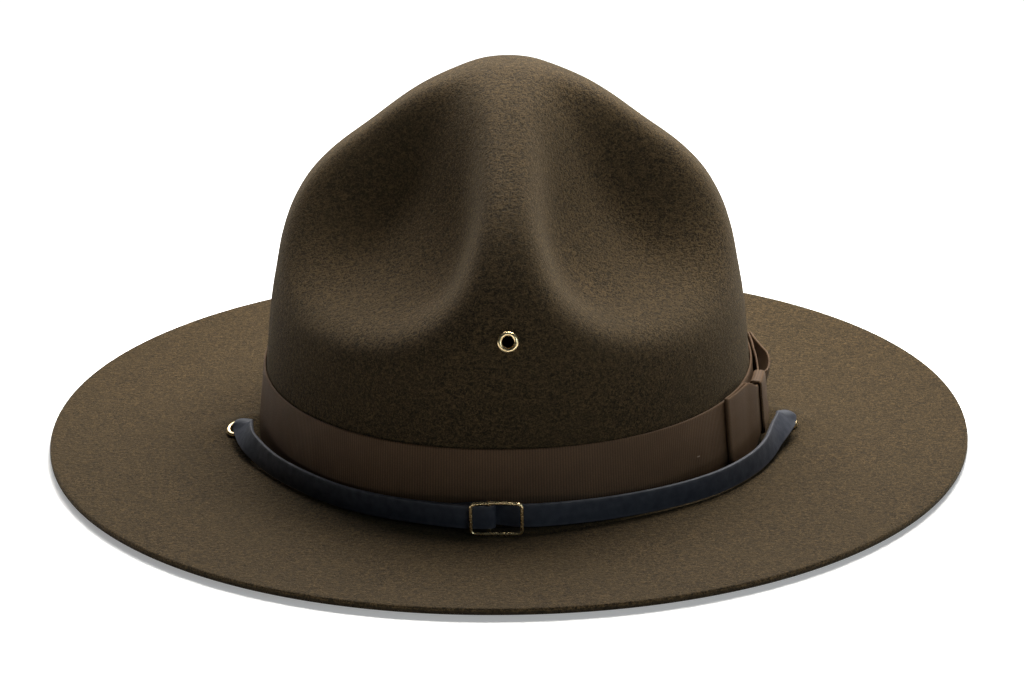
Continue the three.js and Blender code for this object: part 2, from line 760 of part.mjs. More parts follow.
// Stations beside the crown, from the buckle to the eyelet of a side
function sideStations(rows, side) {
  return rows.map(({ turn, stand, lift, lean }) => {
    const theta = -quarterTurn + side * radians(turn);
    const point = wallPoint(theta, 0, stand * eyeletReach);
    const standing = strapWidth * half * Math.cos(radians(lean));
    point.z += strapFoot + standing + lift * strapWidth + riseAt(point.x, point.y);
    return station(point, inwardAt(theta, 0), lean, 1);
  });
}

// Middle of a strap that stands on edge inside the crown
function insidePoint(theta) {
  return wallPoint(theta, strapWidth, -crownWall - 2 * seatGap - strapThickness * half);
}

// Stations through the eyelet of a side, under the brim and round the inside of the crown to the back
function hiddenStations(side, arrival) {
  const seat = brimSeat(side);
  const inward = new THREE.Vector3(-side, 0, 0);
  const ahead = arrival.clone().sub(seat.point).setZ(0).normalize();
  const dive = strapDive.map((row) => {
    const point = seat.point
      .clone()
      .addScaledVector(ahead, row.ahead * strapWidth)
      .addScaledVector(inward, (side < 0 ? row.left : row.right) * strapWidth)
      .addScaledVector(seat.normal, (row.up + (side < 0 ? 0 : row.rise)) * strapWidth);
    return station(point, inward, row.lean, row.span);
  });
  const under = strapUnder.map((row) => {
    const point = new THREE.Vector3(
      seat.point.x - side * row.inside * strapWidth,
      seat.point.y + row.behind * strapWidth,
      row.up * strapWidth,
    );
    return station(point, inward, row.lean, row.span);
  });
  const inside = strapInside.map((row) => {
    const theta = -quarterTurn + side * radians(row.turn);
    const inwards = inwardAt(theta, 0);
    const point = insidePoint(theta).addScaledVector(inwards, row.stand * strapWidth);
    return station(point.setZ(row.up * strapWidth), inwards, row.lean, 1);
  });
  return [...dive, ...under, ...inside];
}

// All stations of the strap, from its end folded round the bar to its tail behind the buckle
function strapStations() {
  const halves = [
    { side: -1, rows: strapLeft },
    { side: 1, rows: strapRight },
  ].map(({ side, rows }) => {
    const beside = sideStations(rows, side);
    const arrival = beside[beside.length - 1].point;
    return [...beside, ...hiddenStations(side, arrival)];
  });
  const lastInside = strapInside[strapInside.length - 1];
  const back = insidePoint(quarterTurn).setZ(lastInside.up * strapWidth);
  return [
    ...buckleStations(true),
    ...halves[0],
    station(back, inwardAt(quarterTurn, 0), lastInside.lean, 1),
    ...halves[1].reverse(),
    ...buckleStations(false),
  ];
}

// Leather strap: one flat strip through all its stations
function strap() {
  const stepsBetween = 2;
  const stations = strapStations();
  const curve = new THREE.CatmullRomCurve3(
    stations.map(({ point }) => point),
    false,
    "centripetal",
  );
  const spans = stations.length - 1;
  const rings = Array.from({ length: spans * stepsBetween + 1 }, (_, i) => {
    const along = i / stepsBetween;
    const index = Math.min(Math.floor(along), spans - 1);
    const share = i / (spans * stepsBetween);
    const point = curve.getPoint(share);
    const tangent = curve.getTangent(share);
    const { across: fromAcross, span: fromSpan } = stations[index];
    const { across: toAcross, span: toSpan } = stations[index + 1];
    const across = fromAcross.clone().lerp(toAcross, along - index);
    across.addScaledVector(tangent, -across.dot(tangent)).normalize();
    const through = tangent.clone().cross(across).multiplyScalar(strapThickness * half);
    const width = strapWidth * THREE.MathUtils.lerp(fromSpan, toSpan, along - index);
    across.multiplyScalar(width * half);
    return [
      [-1, -1],
      [-1, 1],
      [1, 1],
      [1, -1],
    ].map(([side, face]) => point.clone().addScaledVector(across, side).addScaledVector(through, face));
  });
  return loft(rings, false);
}

// Felt body with the holes of its eyelets
function feltBody() {
  let body = solidOf(feltShell());
  body = body.subtract(eyeletDrill(ventSeat(), ventBore, seatGap));
  for (const side of [-1, 1]) {
    body = body.subtract(eyeletDrill(brimSeat(side), brimEyeletBore, seatGap));
  }
  return geometryOf(body);
}

const hat = new THREE.Group();
hat.add(piece("felt_body", feltBody(), "felt"));
hat.add(piece("ribbon_band", ribbonBand(), "ribbon"));
hat.add(piece("bow", bow(), "ribbon"));
hat.add(piece("bow_knot", bowKnot(), "ribbon"));
hat.add(piece("strap", strap(), "leather"));
hat.add(piece("buckle", buckle(), "brass"));
hat.add(piece("crown_eyelet", eyelet(ventSeat(), ventOuter, ventBore, crownWall, eyeletSeatGap), "brass"));
for (const [side, name] of [
  [-1, "brim_eyelet_left"],
  [1, "brim_eyelet_right"],
]) {
  const ring = eyelet(brimSeat(side), brimEyeletOuter, brimEyeletBore, brimThickness, eyeletSeatGap);
  hat.add(piece(name, ring, "brass"));
}

export default hat;
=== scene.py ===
import logging
import math
from dataclasses import dataclass, field
from enum import Enum
from typing import Callable, Sequence

import bpy
import numpy as np
from mathutils import Matrix, Vector


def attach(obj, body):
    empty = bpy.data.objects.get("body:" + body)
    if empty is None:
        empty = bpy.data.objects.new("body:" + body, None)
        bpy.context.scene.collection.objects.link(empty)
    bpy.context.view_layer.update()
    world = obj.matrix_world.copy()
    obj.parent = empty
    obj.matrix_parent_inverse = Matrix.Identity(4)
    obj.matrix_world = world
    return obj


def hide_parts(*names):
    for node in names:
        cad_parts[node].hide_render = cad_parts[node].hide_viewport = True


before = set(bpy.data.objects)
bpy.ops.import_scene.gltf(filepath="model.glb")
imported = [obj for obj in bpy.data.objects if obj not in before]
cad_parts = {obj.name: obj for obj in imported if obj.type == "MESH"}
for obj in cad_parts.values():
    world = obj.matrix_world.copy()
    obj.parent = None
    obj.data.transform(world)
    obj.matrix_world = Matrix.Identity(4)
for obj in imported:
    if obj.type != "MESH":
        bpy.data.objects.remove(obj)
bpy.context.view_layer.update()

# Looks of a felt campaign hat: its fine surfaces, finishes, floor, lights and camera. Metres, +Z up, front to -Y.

MM = 0.001
TURN = 2 * math.pi
FRONT = -math.pi / 2
UP = np.array([0.0, 0.0, 1.0])
CREASE = 40

log = logging.getLogger("campaign_hat")

Array = np.ndarray
Triple = tuple[float, float, float]
Colour = Triple
Span = tuple[float, ...]


class Slot(Enum):
    """Material slots of the record, one named by each piece when it is dressed."""

    FELT = "felt"
    RIBBON = "ribbon"
    LEATHER = "leather"
    BRASS = "brass"


class Side(Enum):
    """Sides of the hat, seen from the front."""

    LEFT = -1
    RIGHT = 1


# Curves and meshes


def along_table(values: Array, row: Array) -> Array:
    """Reads a column of a table at fractional rows, on a smooth curve through the rows.

    Args:
        values: the column, one value a row.
        row: fractional rows.

    Returns:
        The values there.
    """
    last = len(values) - 1
    index = np.clip(np.floor(row).astype(int), 0, last - 1)
    part = row - index
    before, start, end, after = (values[np.clip(index + step, 0, last)] for step in (-1, 0, 1, 2))
    start_slope = (end - before) / 2
    end_slope = (after - start) / 2
    square = part**2
    cube = part**3
    return (
        (2 * cube - 3 * square + 1) * start
        + (cube - 2 * square + part) * start_slope
        + (3 * square - 2 * cube) * end
        + (cube - square) * end_slope
    )


def smooth_step(value: Array, low: float, high: float) -> Array:
    """Rises smoothly from 0 at low to 1 at high.

    Args:
        value: where to read it.
        low: where it starts to rise.
        high: where it is full.

    Returns:
        The share there.
    """
    share = np.clip((value - low) / (high - low), 0, 1)
    return share * share * (3 - 2 * share)


def unit(vectors: Array) -> Array:
    """Gives vectors the length 1.

    Args:
        vectors: one or more vectors, along the last axis.

    Returns:
        The vectors, each of length 1.
    """
    return vectors / np.linalg.norm(vectors, axis=-1, keepdims=True)


def circle(count: int, start: float = 0) -> Array:
    """Angles of equal steps round a circle.

    Args:
        count: how many.
        start: steps from +X to the first.

    Returns:
        The angles.
    """
    return (np.arange(count) + start) / count * TURN


def run_along(points: Array) -> Array:
    """Distances along a line of points.

    Args:
        points: the points in order.

    Returns:
        The distance of each point from the first.
    """
    return np.concatenate([[0], np.cumsum(np.linalg.norm(np.diff(points, axis=0), axis=1))])


def loop_directions(points: Array) -> Array:
    """Directions along a closed line of points.

    Args:
        points: the points in order.

    Returns:
        The direction at each point.
    """
    return unit(np.roll(points, -1, axis=0) - np.roll(points, 1, axis=0))


def wire_rings(path: Array, ahead: Array, square: Array, radius: float, angles: Array) -> Array:
    """Rings of points round a wire.

    Args:
        path: its middle line, in one plane.
        ahead: direction along it at each point.
        square: direction square to the path's plane.
        radius: radius of the wire.
        angles: angles of the points in a ring.

    Returns:
        The rings.
    """
    across = np.cross(ahead, square)
    return (
        path[:, None, :]
        + radius * np.cos(angles)[None, :, None] * square
        + radius * np.sin(angles)[None, :, None] * across[:, None, :]
    )


def mesh_object(name: str, points: Array, faces: Sequence[Sequence[int]], crease: float = CREASE) -> bpy.types.Object:
    """Makes a smooth mesh object whose edges stay sharp where they turn by more than an angle.

    Args:
        name: name of the object.
        points: corners, one a row.
        faces: corner numbers of each face.
        crease: angle in degrees past which an edge is sharp.

    Returns:
        The new object, in the scene.
    """
    mesh = bpy.data.meshes.new(name)
    mesh.from_pydata([tuple(point) for point in points], [], [tuple(int(i) for i in face) for face in faces])
    mesh.polygons.foreach_set("use_smooth", [True] * len(mesh.polygons))
    mesh.update()
    mesh.set_sharp_from_angle(angle=math.radians(crease))
    made = bpy.data.objects.new(name, mesh)
    bpy.context.scene.collection.objects.link(made)
    return made


@dataclass
class Loft:
    """Closed skin through rings of as many points each.

    Attributes:
        rings: points, as ring, place in the ring and coordinate.
        closed: whether the last ring joins the first.
        tips: end points of an open loft; None puts them in the middle of the end rings.
    """

    rings: Array
    closed: bool = False
    tips: Array | None = None

    def faces(self) -> list[Sequence[int]]:
        """Numbers the corners of each face, with the faces looking out.

        Returns:
            The faces.
        """
        count, size = self.rings.shape[:2]
        spans = count if self.closed else count - 1
        i, j = np.meshgrid(np.arange(spans), np.arange(size), indexing="ij")
        following = (i + 1) % count
        beside = (j + 1) % size
        corners = [i * size + j, i * size + beside, following * size + beside, following * size + j]
        quads = np.stack(corners, axis=-1).reshape(-1, 4)
        made: list[Sequence[int]] = quads.tolist()
        if not self.closed:
            start = count * size
            top = (count - 1) * size
            place = np.arange(size)
            after = (place + 1) % size
            made += np.stack([np.full(size, start), after, place], axis=-1).tolist()
            made += np.stack([np.full(size, start + 1), top + place, top + after], axis=-1).tolist()
        return made

    def points(self) -> Array:
        """Lists the corners, ring after ring, with the tips last.

        Returns:
            The corners.
        """
        flat = self.rings.reshape(-1, 3)
        if self.closed:
            return flat
        ends = self.tips if self.tips is not None else self.rings[[0, -1]].mean(axis=1)
        return np.vstack([flat, ends])

    def build(self, name: str, crease: float = CREASE) -> bpy.types.Object:
        """Makes the mesh object, turned so that its faces look out.

        Args:
            name: name of the object.
            crease: angle in degrees past which an edge is sharp.

        Returns:
            The object.
        """
        points = self.points()
        faces = self.faces()
        volume = sum(
            float(points[face[0]] @ np.cross(points[face[k]], points[face[k + 1]]))
            for face in faces
            for k in range(1, len(face) - 1)
        )
        if volume < 0:
            faces = [face[::-1] for face in faces]
        return mesh_object(name, points, faces, crease)


def combine(body: bpy.types.Object, tool: bpy.types.Object, operation: str) -> None:
    """Joins a tool to a body or cuts it out of the body, and removes the tool.

    Args:
        body: the mesh object that changes.
        tool: the mesh object that joins or cuts it.
        operation: UNION or DIFFERENCE.
    """
    step = body.modifiers.new(tool.name, "BOOLEAN")
    step.operation = operation
    step.object = tool
    ready = bpy.data.meshes.new_from_object(body.evaluated_get(bpy.context.evaluated_depsgraph_get()))
    body.modifiers.clear()
    body.data = ready
    bpy.data.objects.remove(tool)


def paint(made: bpy.types.Object, name: str, values: Array) -> None:
    """Stores a value or a vector at each point of a mesh, for its finish to read.

    Args:
        made: the mesh object.
        name: name of the attribute.
        values: one number or three a point.
    """
    kind = "FLOAT" if values.ndim == 1 else "FLOAT_VECTOR"
    layer = made.data.attributes.new(name, kind, "POINT")
    layer.data.foreach_set("value" if values.ndim == 1 else "vector", values.astype(np.float32).ravel())


# Finishes


class Bench:
    """Short ways to add and join the shader nodes of one material."""

    def __init__(self, name: str) -> None:
        """Starts a material.

        Args:
            name: name of the material.
        """
        self.material = bpy.data.materials.new(name)
        self.material.use_nodes = True
        self.nodes = self.material.node_tree.nodes
        self.links = self.material.node_tree.links
        self.shader = self.nodes["Principled BSDF"]
        self.place = self.nodes.new("ShaderNodeTexCoord").outputs["Object"]

    def join(self, source: object, socket: bpy.types.NodeSocket) -> None:
        """Links an output to a socket, or sets the socket to a plain value.

        Args:
            source: an output socket, a number or a colour.
            socket: the input.
        """
        if isinstance(source, bpy.types.NodeSocket):
            self.links.new(source, socket)
        elif isinstance(source, tuple) and len(source) == 3 and socket.type == "RGBA":
            socket.default_value = (*source, 1)
        else:
            socket.default_value = source

    def attribute(self, name: str, output: str = "Fac") -> bpy.types.NodeSocket:
        """Reads what paint stored.

        Args:
            name: name of the attribute.
            output: Fac for a number, Vector for a vector.

        Returns:
            The output.
        """
        node = self.nodes.new("ShaderNodeAttribute")
        node.attribute_name = name
        return node.outputs[output]

    def stretched(self, source: bpy.types.NodeSocket, shares: Triple) -> bpy.types.NodeSocket:
        """Scales a place along its axes.

        Args:
            source: the place.
            shares: factor along each axis.

        Returns:
            The scaled place.
        """
        node = self.nodes.new("ShaderNodeVectorMath")
        node.operation = "MULTIPLY"
        self.join(source, node.inputs[0])
        node.inputs[1].default_value = shares
        return node.outputs[0]

    def facing(self) -> bpy.types.NodeSocket:
        """Reads the direction that the surface faces.

        Returns:
            The direction.
        """
        return self.nodes.new("ShaderNodeNewGeometry").outputs["True Normal"]

    def upright(self, source: bpy.types.NodeSocket) -> bpy.types.NodeSocket:
        """Reads the upright part of a vector.

        Args:
            source: a place or a direction.

        Returns:
            Its upright part.
        """
        node = self.nodes.new("ShaderNodeSeparateXYZ")
        self.join(source, node.inputs[0])
        return node.outputs["Z"]

    def length(self, source: bpy.types.NodeSocket) -> bpy.types.NodeSocket:
        """Measures how far a place is from the middle.

        Args:
            source: the place.

        Returns:
            The distance.
        """
        node = self.nodes.new("ShaderNodeVectorMath")
        node.operation = "LENGTH"
        self.join(source, node.inputs[0])
        return node.outputs["Value"]

    def noise(
        self, grain: float, detail: float = 2, place: bpy.types.NodeSocket | None = None, twist: float = 0
    ) -> bpy.types.NodeSocket:
        """Adds noise.

        Args:
            grain: size of its blobs in metres.
            detail: how many finer layers it has.
            place: where to read it, or None for the place on the object.
            twist: how much it is distorted.

        Returns:
            The noise from 0 to 1.
        """
        node = self.nodes.new("ShaderNodeTexNoise")
        self.join(place or self.place, node.inputs["Vector"])
        node.inputs["Scale"].default_value = 1 / grain
        node.inputs["Detail"].default_value = detail
        node.inputs["Distortion"].default_value = twist
        return node.outputs["Fac"]

    def cells(self, grain: float, place: bpy.types.NodeSocket | None = None) -> bpy.types.NodeSocket:
        """Adds rounded cells.

        Args:
            grain: size of a cell in metres.
            place: where to read it, or None for the place on the object.

        Returns:
            The distance from the middle of the cell.
        """
        node = self.nodes.new("ShaderNodeTexVoronoi")
        node.feature = "SMOOTH_F1"
        self.join(place or self.place, node.inputs["Vector"])
        node.inputs["Scale"].default_value = 1 / grain
        return node.outputs["Distance"]

    def reach(
        self, source: bpy.types.NodeSocket, low: float, high: float, to_low: float = 0, to_high: float = 1
    ) -> bpy.types.NodeSocket:
        """Maps a range of values to another, and holds it at the ends.

        Args:
            source: the value.
            low: value that gives to_low.
            high: value that gives to_high.
            to_low: result at low.
            to_high: result at high.

        Returns:
            The mapped value.
        """
        node = self.nodes.new("ShaderNodeMapRange")
        self.join(source, node.inputs["Value"])
        for name, value in (("From Min", low), ("From Max", high), ("To Min", to_low), ("To Max", to_high)):
            node.inputs[name].default_value = value
        return node.outputs["Result"]

    def sum(self, operation: str, first: object, second: object) -> bpy.types.NodeSocket:
        """Joins two values by arithmetic.

        Args:
            operation: name of the operation, such as ADD.
            first: a value.
            second: a value.

        Returns:
            The result.
        """
        node = self.nodes.new("ShaderNodeMath")
        node.operation = operation
        self.join(first, node.inputs[0])
        self.join(second, node.inputs[1])
        return node.outputs[0]

    def tint(self, share: object, first: object, second: object) -> bpy.types.NodeSocket:
        """Mixes two colours.

        Args:
            share: how much of the second.
            first: a colour.
            second: a colour.

        Returns:
            The mixed colour.
        """
        node = self.nodes.new("ShaderNodeMixRGB")
        for source, name in ((share, "Fac"), (first, "Color1"), (second, "Color2")):
            self.join(source, node.inputs[name])
        return node.outputs["Color"]

    def relief(
        self, height: bpy.types.NodeSocket, depth: float, under: bpy.types.NodeSocket | None = None
    ) -> bpy.types.NodeSocket:
        """Turns a height into a bent normal.

        Args:
            height: the height from 0 to 1.
            depth: how deep that is in metres.
            under: normal of a coarser relief below it.

        Returns:
            The normal.
        """
        node = self.nodes.new("ShaderNodeBump")
        node.inputs["Distance"].default_value = depth
        self.join(height, node.inputs["Height"])
        if under is not None:
            self.join(under, node.inputs["Normal"])
        return node.outputs["Normal"]

    def finish(self, **sockets: object) -> bpy.types.Material:
        """Sets the shader's sockets.

        Args:
            sockets: values or outputs by the socket's name, with _ for a space.

        Returns:
            The material.
        """
        for name, source in sockets.items():
            self.join(source, self.shader.inputs[name.replace("_", " ")])
        return self.material


@dataclass(frozen=True)
class FeltFinish:
    """Dense wool felt: short tangled fibres of several tones with a soft nap."""

    name: str = "olive_felt"
    deep: Colour = (0.0048, 0.0038, 0.0021)
    pale: Colour = (0.075, 0.0482, 0.0212)
    warm: Colour = (0.035, 0.0240, 0.0108)
    # Painted shade on low felt that faces sideways or down, such as the brim's cut edge: share of its colour kept,
    # height, fade and facings
    edge_shade_share: float = 0.3
    edge_shade_height: float = 2.6 * MM
    edge_shade_fade: float = 1.2
    fibre: float = 0.62 * MM
    clump: float = 1.5 * MM
    drift: float = 34 * MM
    nap_depth: float = 0.42 * MM
    clump_depth: float = 0.30 * MM
    layers: float = 3
    twist: float = 1.2
    lie_across: Triple = (1, 0.42, 0.8)
    lie_along: Triple = (0.42, 1, 0.9)
    speckle: Span = (0.48, 0.66)
    clump_share: float = 0.2
    warmth: Span = (0.35, 0.7, 0, 0.3)
    edge_shade_facing: Span = (0.3, 0.8, 1, 0)

    def material(self) -> bpy.types.Material:
        """Makes the material.

        Returns:
            The felt material.
        """
        bench = Bench(self.name)
        across = bench.noise(self.fibre, self.layers, bench.stretched(bench.place, self.lie_across), self.twist)
        along = bench.noise(self.fibre, self.layers, bench.stretched(bench.place, self.lie_along), self.twist)
        fibres = bench.sum("MAXIMUM", across, along)
        clumps = bench.noise(self.clump, self.layers)
        speckle = bench.sum("MULTIPLY", bench.reach(fibres, *self.speckle), 1 - self.clump_share)
        tone = bench.sum("ADD", speckle, bench.sum("MULTIPLY", clumps, self.clump_share))
        colour = bench.tint(tone, self.deep, self.pale)
        colour = bench.tint(bench.reach(bench.noise(self.drift), *self.warmth), colour, self.warm)
        # Felt that lies low and faces sideways or down, chiefly the brim's cut edge and underside, is painted darker
        # towards deep: painted shade
        low = bench.reach(bench.upright(bench.place), self.edge_shade_height, self.edge_shade_height * self.edge_shade_fade, 1, 0)
        sideways_shade = bench.reach(bench.upright(bench.facing()), *self.edge_shade_facing)
        cut = bench.sum("MULTIPLY", bench.sum("MULTIPLY", low, sideways_shade), 1 - self.edge_shade_share)
        colour = bench.tint(cut, colour, self.deep)
        nap = bench.relief(fibres, self.nap_depth, bench.relief(clumps, self.clump_depth))
        return bench.finish(
            Base_Color=colour,
            Normal=nap,
            Roughness=0.95,
            Specular_IOR_Level=0.12,
            Sheen_Weight=0.09,
            Sheen_Roughness=0.4,
            Sheen_Tint=(0.62, 0.48, 0.30),
        )


@dataclass(frozen=True)
class RibbonFinish:
    """Ribbed ribbon: fine warp threads over upright ribs, a little lustrous."""

    name: str = "brown_ribbon"
    deep: Colour = (0.029, 0.0155, 0.0075)
    pale: Colour = (0.112, 0.063, 0.032)
    warp: float = 0.26 * MM
    drift: float = 9 * MM
    thread_depth: float = 0.05 * MM
    thread_lie: Triple = (0.35, 1, 1)
    # Painted shade in the grooves between the ribs: range of the rib height and the tone it gives
    groove_painted_shade: Span = (0, 1, 0.3, 1)
    thread_shade: Span = (0.3, 0.7, 0.65, 1)
    drift_shade: Span = (0.3, 0.7, 0.8, 1)

    def material(self) -> bpy.types.Material:
        """Makes the material.

        Returns:
            The ribbon material.
        """
        bench = Bench(self.name)
        weave = bench.attribute("weave", "Vector")
        threads = bench.noise(self.warp, 1, bench.stretched(weave, self.thread_lie))
        # The grooves between the ribs are painted darker: painted shade in the recesses
        painted_groove_shade = bench.reach(bench.attribute("rib"), *self.groove_painted_shade)
        tone = bench.sum("MULTIPLY", painted_groove_shade, bench.reach(threads, *self.thread_shade))
        tone = bench.sum("MULTIPLY", tone, bench.reach(bench.noise(self.drift, 2, weave), *self.drift_shade))
        return bench.finish(
            Base_Color=bench.tint(tone, self.deep, self.pale),
            Normal=bench.relief(threads, self.thread_depth),
            Roughness=0.62,
            Specular_IOR_Level=0.14,
            Sheen_Weight=0.03,
            Sheen_Roughness=0.4,
            Sheen_Tint=(0.7, 0.55, 0.42),
        )


@dataclass(frozen=True)
class LeatherFinish:
    """Blue-black strap leather with a fine grain and burnished, paler edges."""

    name: str = "navy_leather"
    deep: Colour = (0.025, 0.028, 0.038)
    pale: Colour = (0.038, 0.041, 0.053)
    worn: Colour = (0.056, 0.056, 0.066)
    grain: float = 0.42 * MM
    crease: float = 3 * MM
    grain_depth: float = 0.05 * MM
    crease_depth: float = 0.1 * MM
    crease_tone: Span = (0.35, 0.7)
    edge_wear: Span = (0.3, 0.6, 0.3, 0.8)
    polish: Span = (0.3, 0.7, 0.6, 0.5)

    def material(self) -> bpy.types.Material:
        """Makes the material.

        Returns:
            The leather material.
        """
        bench = Bench(self.name)
        pores = bench.cells(self.grain)
        creases = bench.noise(self.crease, 4)
        colour = bench.tint(bench.reach(creases, *self.crease_tone), self.deep, self.pale)
        edge = bench.sum("MULTIPLY", bench.attribute("edge"), bench.reach(creases, *self.edge_wear))
        colour = bench.tint(edge, colour, self.worn)
        return bench.finish(
            Base_Color=colour,
            Normal=bench.relief(pores, self.grain_depth, bench.relief(creases, self.crease_depth)),
            Roughness=bench.reach(creases, *self.polish),
            Specular_IOR_Level=0.2,
        )


@dataclass(frozen=True)
class BrassFinish:
    """Polished brass, a little tarnished in random patches."""

    name: str = "old_brass"
    bright: Colour = (0.97, 0.76, 0.43)
    dull: Colour = (0.62, 0.45, 0.22)
    stain: float = 1.6 * MM
    scratch: float = 0.25 * MM
    scratch_depth: float = 0.002 * MM
    scratch_lie: Triple = (1, 1, 0.2)
    tarnish: Span = (0.42, 0.72, 0, 0.75)
    polish: Span = (0.35, 0.75, 0.22, 0.36)

    def material(self) -> bpy.types.Material:
        """Makes the material.

        Returns:
            The brass material.
        """
        bench = Bench(self.name)
        stains = bench.noise(self.stain, 4)
        scratches = bench.noise(self.scratch, 2, bench.stretched(bench.place, self.scratch_lie))
        colour = bench.tint(bench.reach(stains, *self.tarnish), self.bright, self.dull)
        return bench.finish(
            Base_Color=colour,
            Metallic=1.0,
            Roughness=bench.reach(stains, *self.polish),
            Normal=bench.relief(scratches, self.scratch_depth),
        )


@dataclass(frozen=True)
class ThreadFinish:
    """Twisted sewing thread."""

    name: str = "tack_thread"
    colour: Colour = (0.30, 0.22, 0.15)
    dim_share: float = 0.4
    ply: float = 0.12 * MM

    def material(self) -> bpy.types.Material:
        """Makes the material.

        Returns:
            The thread material.
        """
        bench = Bench(self.name)
        plies = bench.noise(self.ply, 2)
        dim = tuple(part * self.dim_share for part in self.colour)
        return bench.finish(
            Base_Color=bench.tint(plies, dim, self.colour),
            Normal=bench.relief(plies, self.ply / 4),
            Roughness=0.7,
        )


# Form of the felt, which every other piece sits on


@dataclass(frozen=True)
class HatForm:
    """Sizes and surfaces of the crown and brim."""

    crown_width: float = 172.5 * MM
    crown_length: float = 205 * MM
    crown_height: float = 133.8 * MM
    crown_wall: float = 2.3 * MM
    crown_squareness: float = 2.1
    peak_aside: float = 1 * MM
    brim_width: float = 75.75 * MM
    brim_thickness: float = 2.4 * MM
    brim_squareness: float = 2.04
    rim_lift: float = 1.5 * MM
    rim_flat_share: float = 0.3
    rim_lift_power: float = 1.6
    front_ridge: float = 14 * MM
    side_ridge: float = 15 * MM
    seat_gap: float = 0.3 * MM
    ribbon_height: float = 25.4 * MM
    eyelet_reach: float = 10 * MM
    eyelet_forward: float = 10 * MM
    eyelet_aside: float = 1.2 * MM
    strap_rise: float = 5.5 * MM
    strap_rise_reach: float = 11.6 * MM
    strap_rise_behind: float = 8.2 * MM
    strap_rise_inside: float = 5 * MM
    vent_height: float = 62.2 * MM
    ridge_crowding: float = 0.42
    ridges: int = 4
    ridge_power: int = 4
    normal_step: float = 0.02
    foot_steps: int = 720
    # Upright meridians: height on the ridges, share of the oval on the side and front ridges, spread of the front
    # and side ridges as shares of their half widths, height and share of the oval in a dent
    meridians: tuple[Span, ...] = (
        (0, 1.012, 1.012, 4, 4, 0, 1.012),
        (0.1, 0.998, 0.998, 4, 4, 0.1, 0.998),
        (0.2, 0.986, 0.986, 4, 4, 0.2, 0.986),
        (0.3, 0.973, 0.972, 4, 4, 0.3, 0.972),
        (0.38, 0.959, 0.956, 3.6, 3.9, 0.375, 0.948),
        (0.46, 0.937, 0.934, 2.75, 3.1, 0.417, 0.885),
        (0.54, 0.912, 0.9, 2, 2.35, 0.45, 0.785),
        (0.62, 0.868, 0.846, 1.45, 1.8, 0.485, 0.68),
        (0.7, 0.795, 0.765, 1.15, 1.4, 0.525, 0.58),
        (0.77, 0.69, 0.655, 1, 1.15, 0.58, 0.49),
        (0.84, 0.545, 0.51, 1, 1, 0.65, 0.405),
        (0.9, 0.42, 0.375, 1.03, 1, 0.735, 0.34),
        (0.94, 0.318, 0.275, 1.08, 1, 0.825, 0.28),
        (0.972, 0.205, 0.176, 1.15, 1, 0.91, 0.205),
        (0.993, 0.1, 0.086, 1.2, 1, 0.974, 0.115),
        (1, 0, 0, 1.2, 1, 1, 0),
    )

    def oval(self, theta: Array, half_width: Array, half_length: Array, squareness: float) -> Array:
        """Points of a rounded oval in plan.

        Args:
            theta: angles from +X.
            half_width: half its width along X.
            half_length: half its length along Y.
            squareness: 2 for an ellipse, more for fuller corners.

        Returns:
            The points in plan.
        """
        power = 2 / squareness
        side = np.cos(theta)
        along = np.sin(theta)
        x = half_width * np.sign(side) * np.abs(side) ** power
        y = half_length * np.sign(along) * np.abs(along) ** power
        return np.stack(np.broadcast_arrays(x, y), axis=-1)

    def columns(self, count: int) -> Array:
        """Angles round the hat, closer together at the four ridges.

        Args:
            count: how many.

        Returns:
            The angles.
        """
        even = circle(count)
        return even - self.ridge_crowding / self.ridges * np.sin(self.ridges * even)

    def wall_share(self, height: Array) -> Array:
        """Share of the oval at a height above the brim in the upright wall.

        Args:
            height: heights above the brim.

        Returns:
            The shares.
        """
        table = np.array(self.meridians)
        low = table[0, 1] + (table[1, 1] - table[0, 1]) * height / (table[1, 0] * self.crown_height)
        return np.where(height < 0, low, np.interp(height / self.crown_height, table[:, 0], table[:, 1]))

    def eyelet_place(self, side: int) -> tuple[float, float]:
        """Middle in plan of the eyelet in the brim on a side."""
        return side * (self.crown_width / 2 + self.eyelet_reach) + self.eyelet_aside, -self.eyelet_forward

    def rise(self, x: Array, y: Array) -> Array:
        """Height that the strap under the brim lifts the felt.

        Args:
            x: places along X.
            y: places along Y.

        Returns:
            The heights.
        """
        side = np.where(x < 0, -1, 1)
        middle_x = side * (self.crown_width / 2 + self.eyelet_reach - self.strap_rise_inside) + self.eyelet_aside
        middle_y = self.strap_rise_behind - self.eyelet_forward
        distance = (x - middle_x) ** 2 + (y - middle_y) ** 2
        return self.strap_rise * np.exp(-distance / self.strap_rise_reach**2)

    def lifted(self, points: Array) -> Array:
        """Moves points up with the felt that the strap lifts, less and less up the crown wall.

        Args:
            points: points of the hat.

        Returns:
            The moved points.
        """
        height = np.maximum(points[..., 2] - self.brim_thickness, 0)
        moved = points.copy()
        fade = 1 - smooth_step(height, 0, self.ribbon_height)
        moved[..., 2] += self.rise(points[..., 0], points[..., 1]) * fade
        return moved

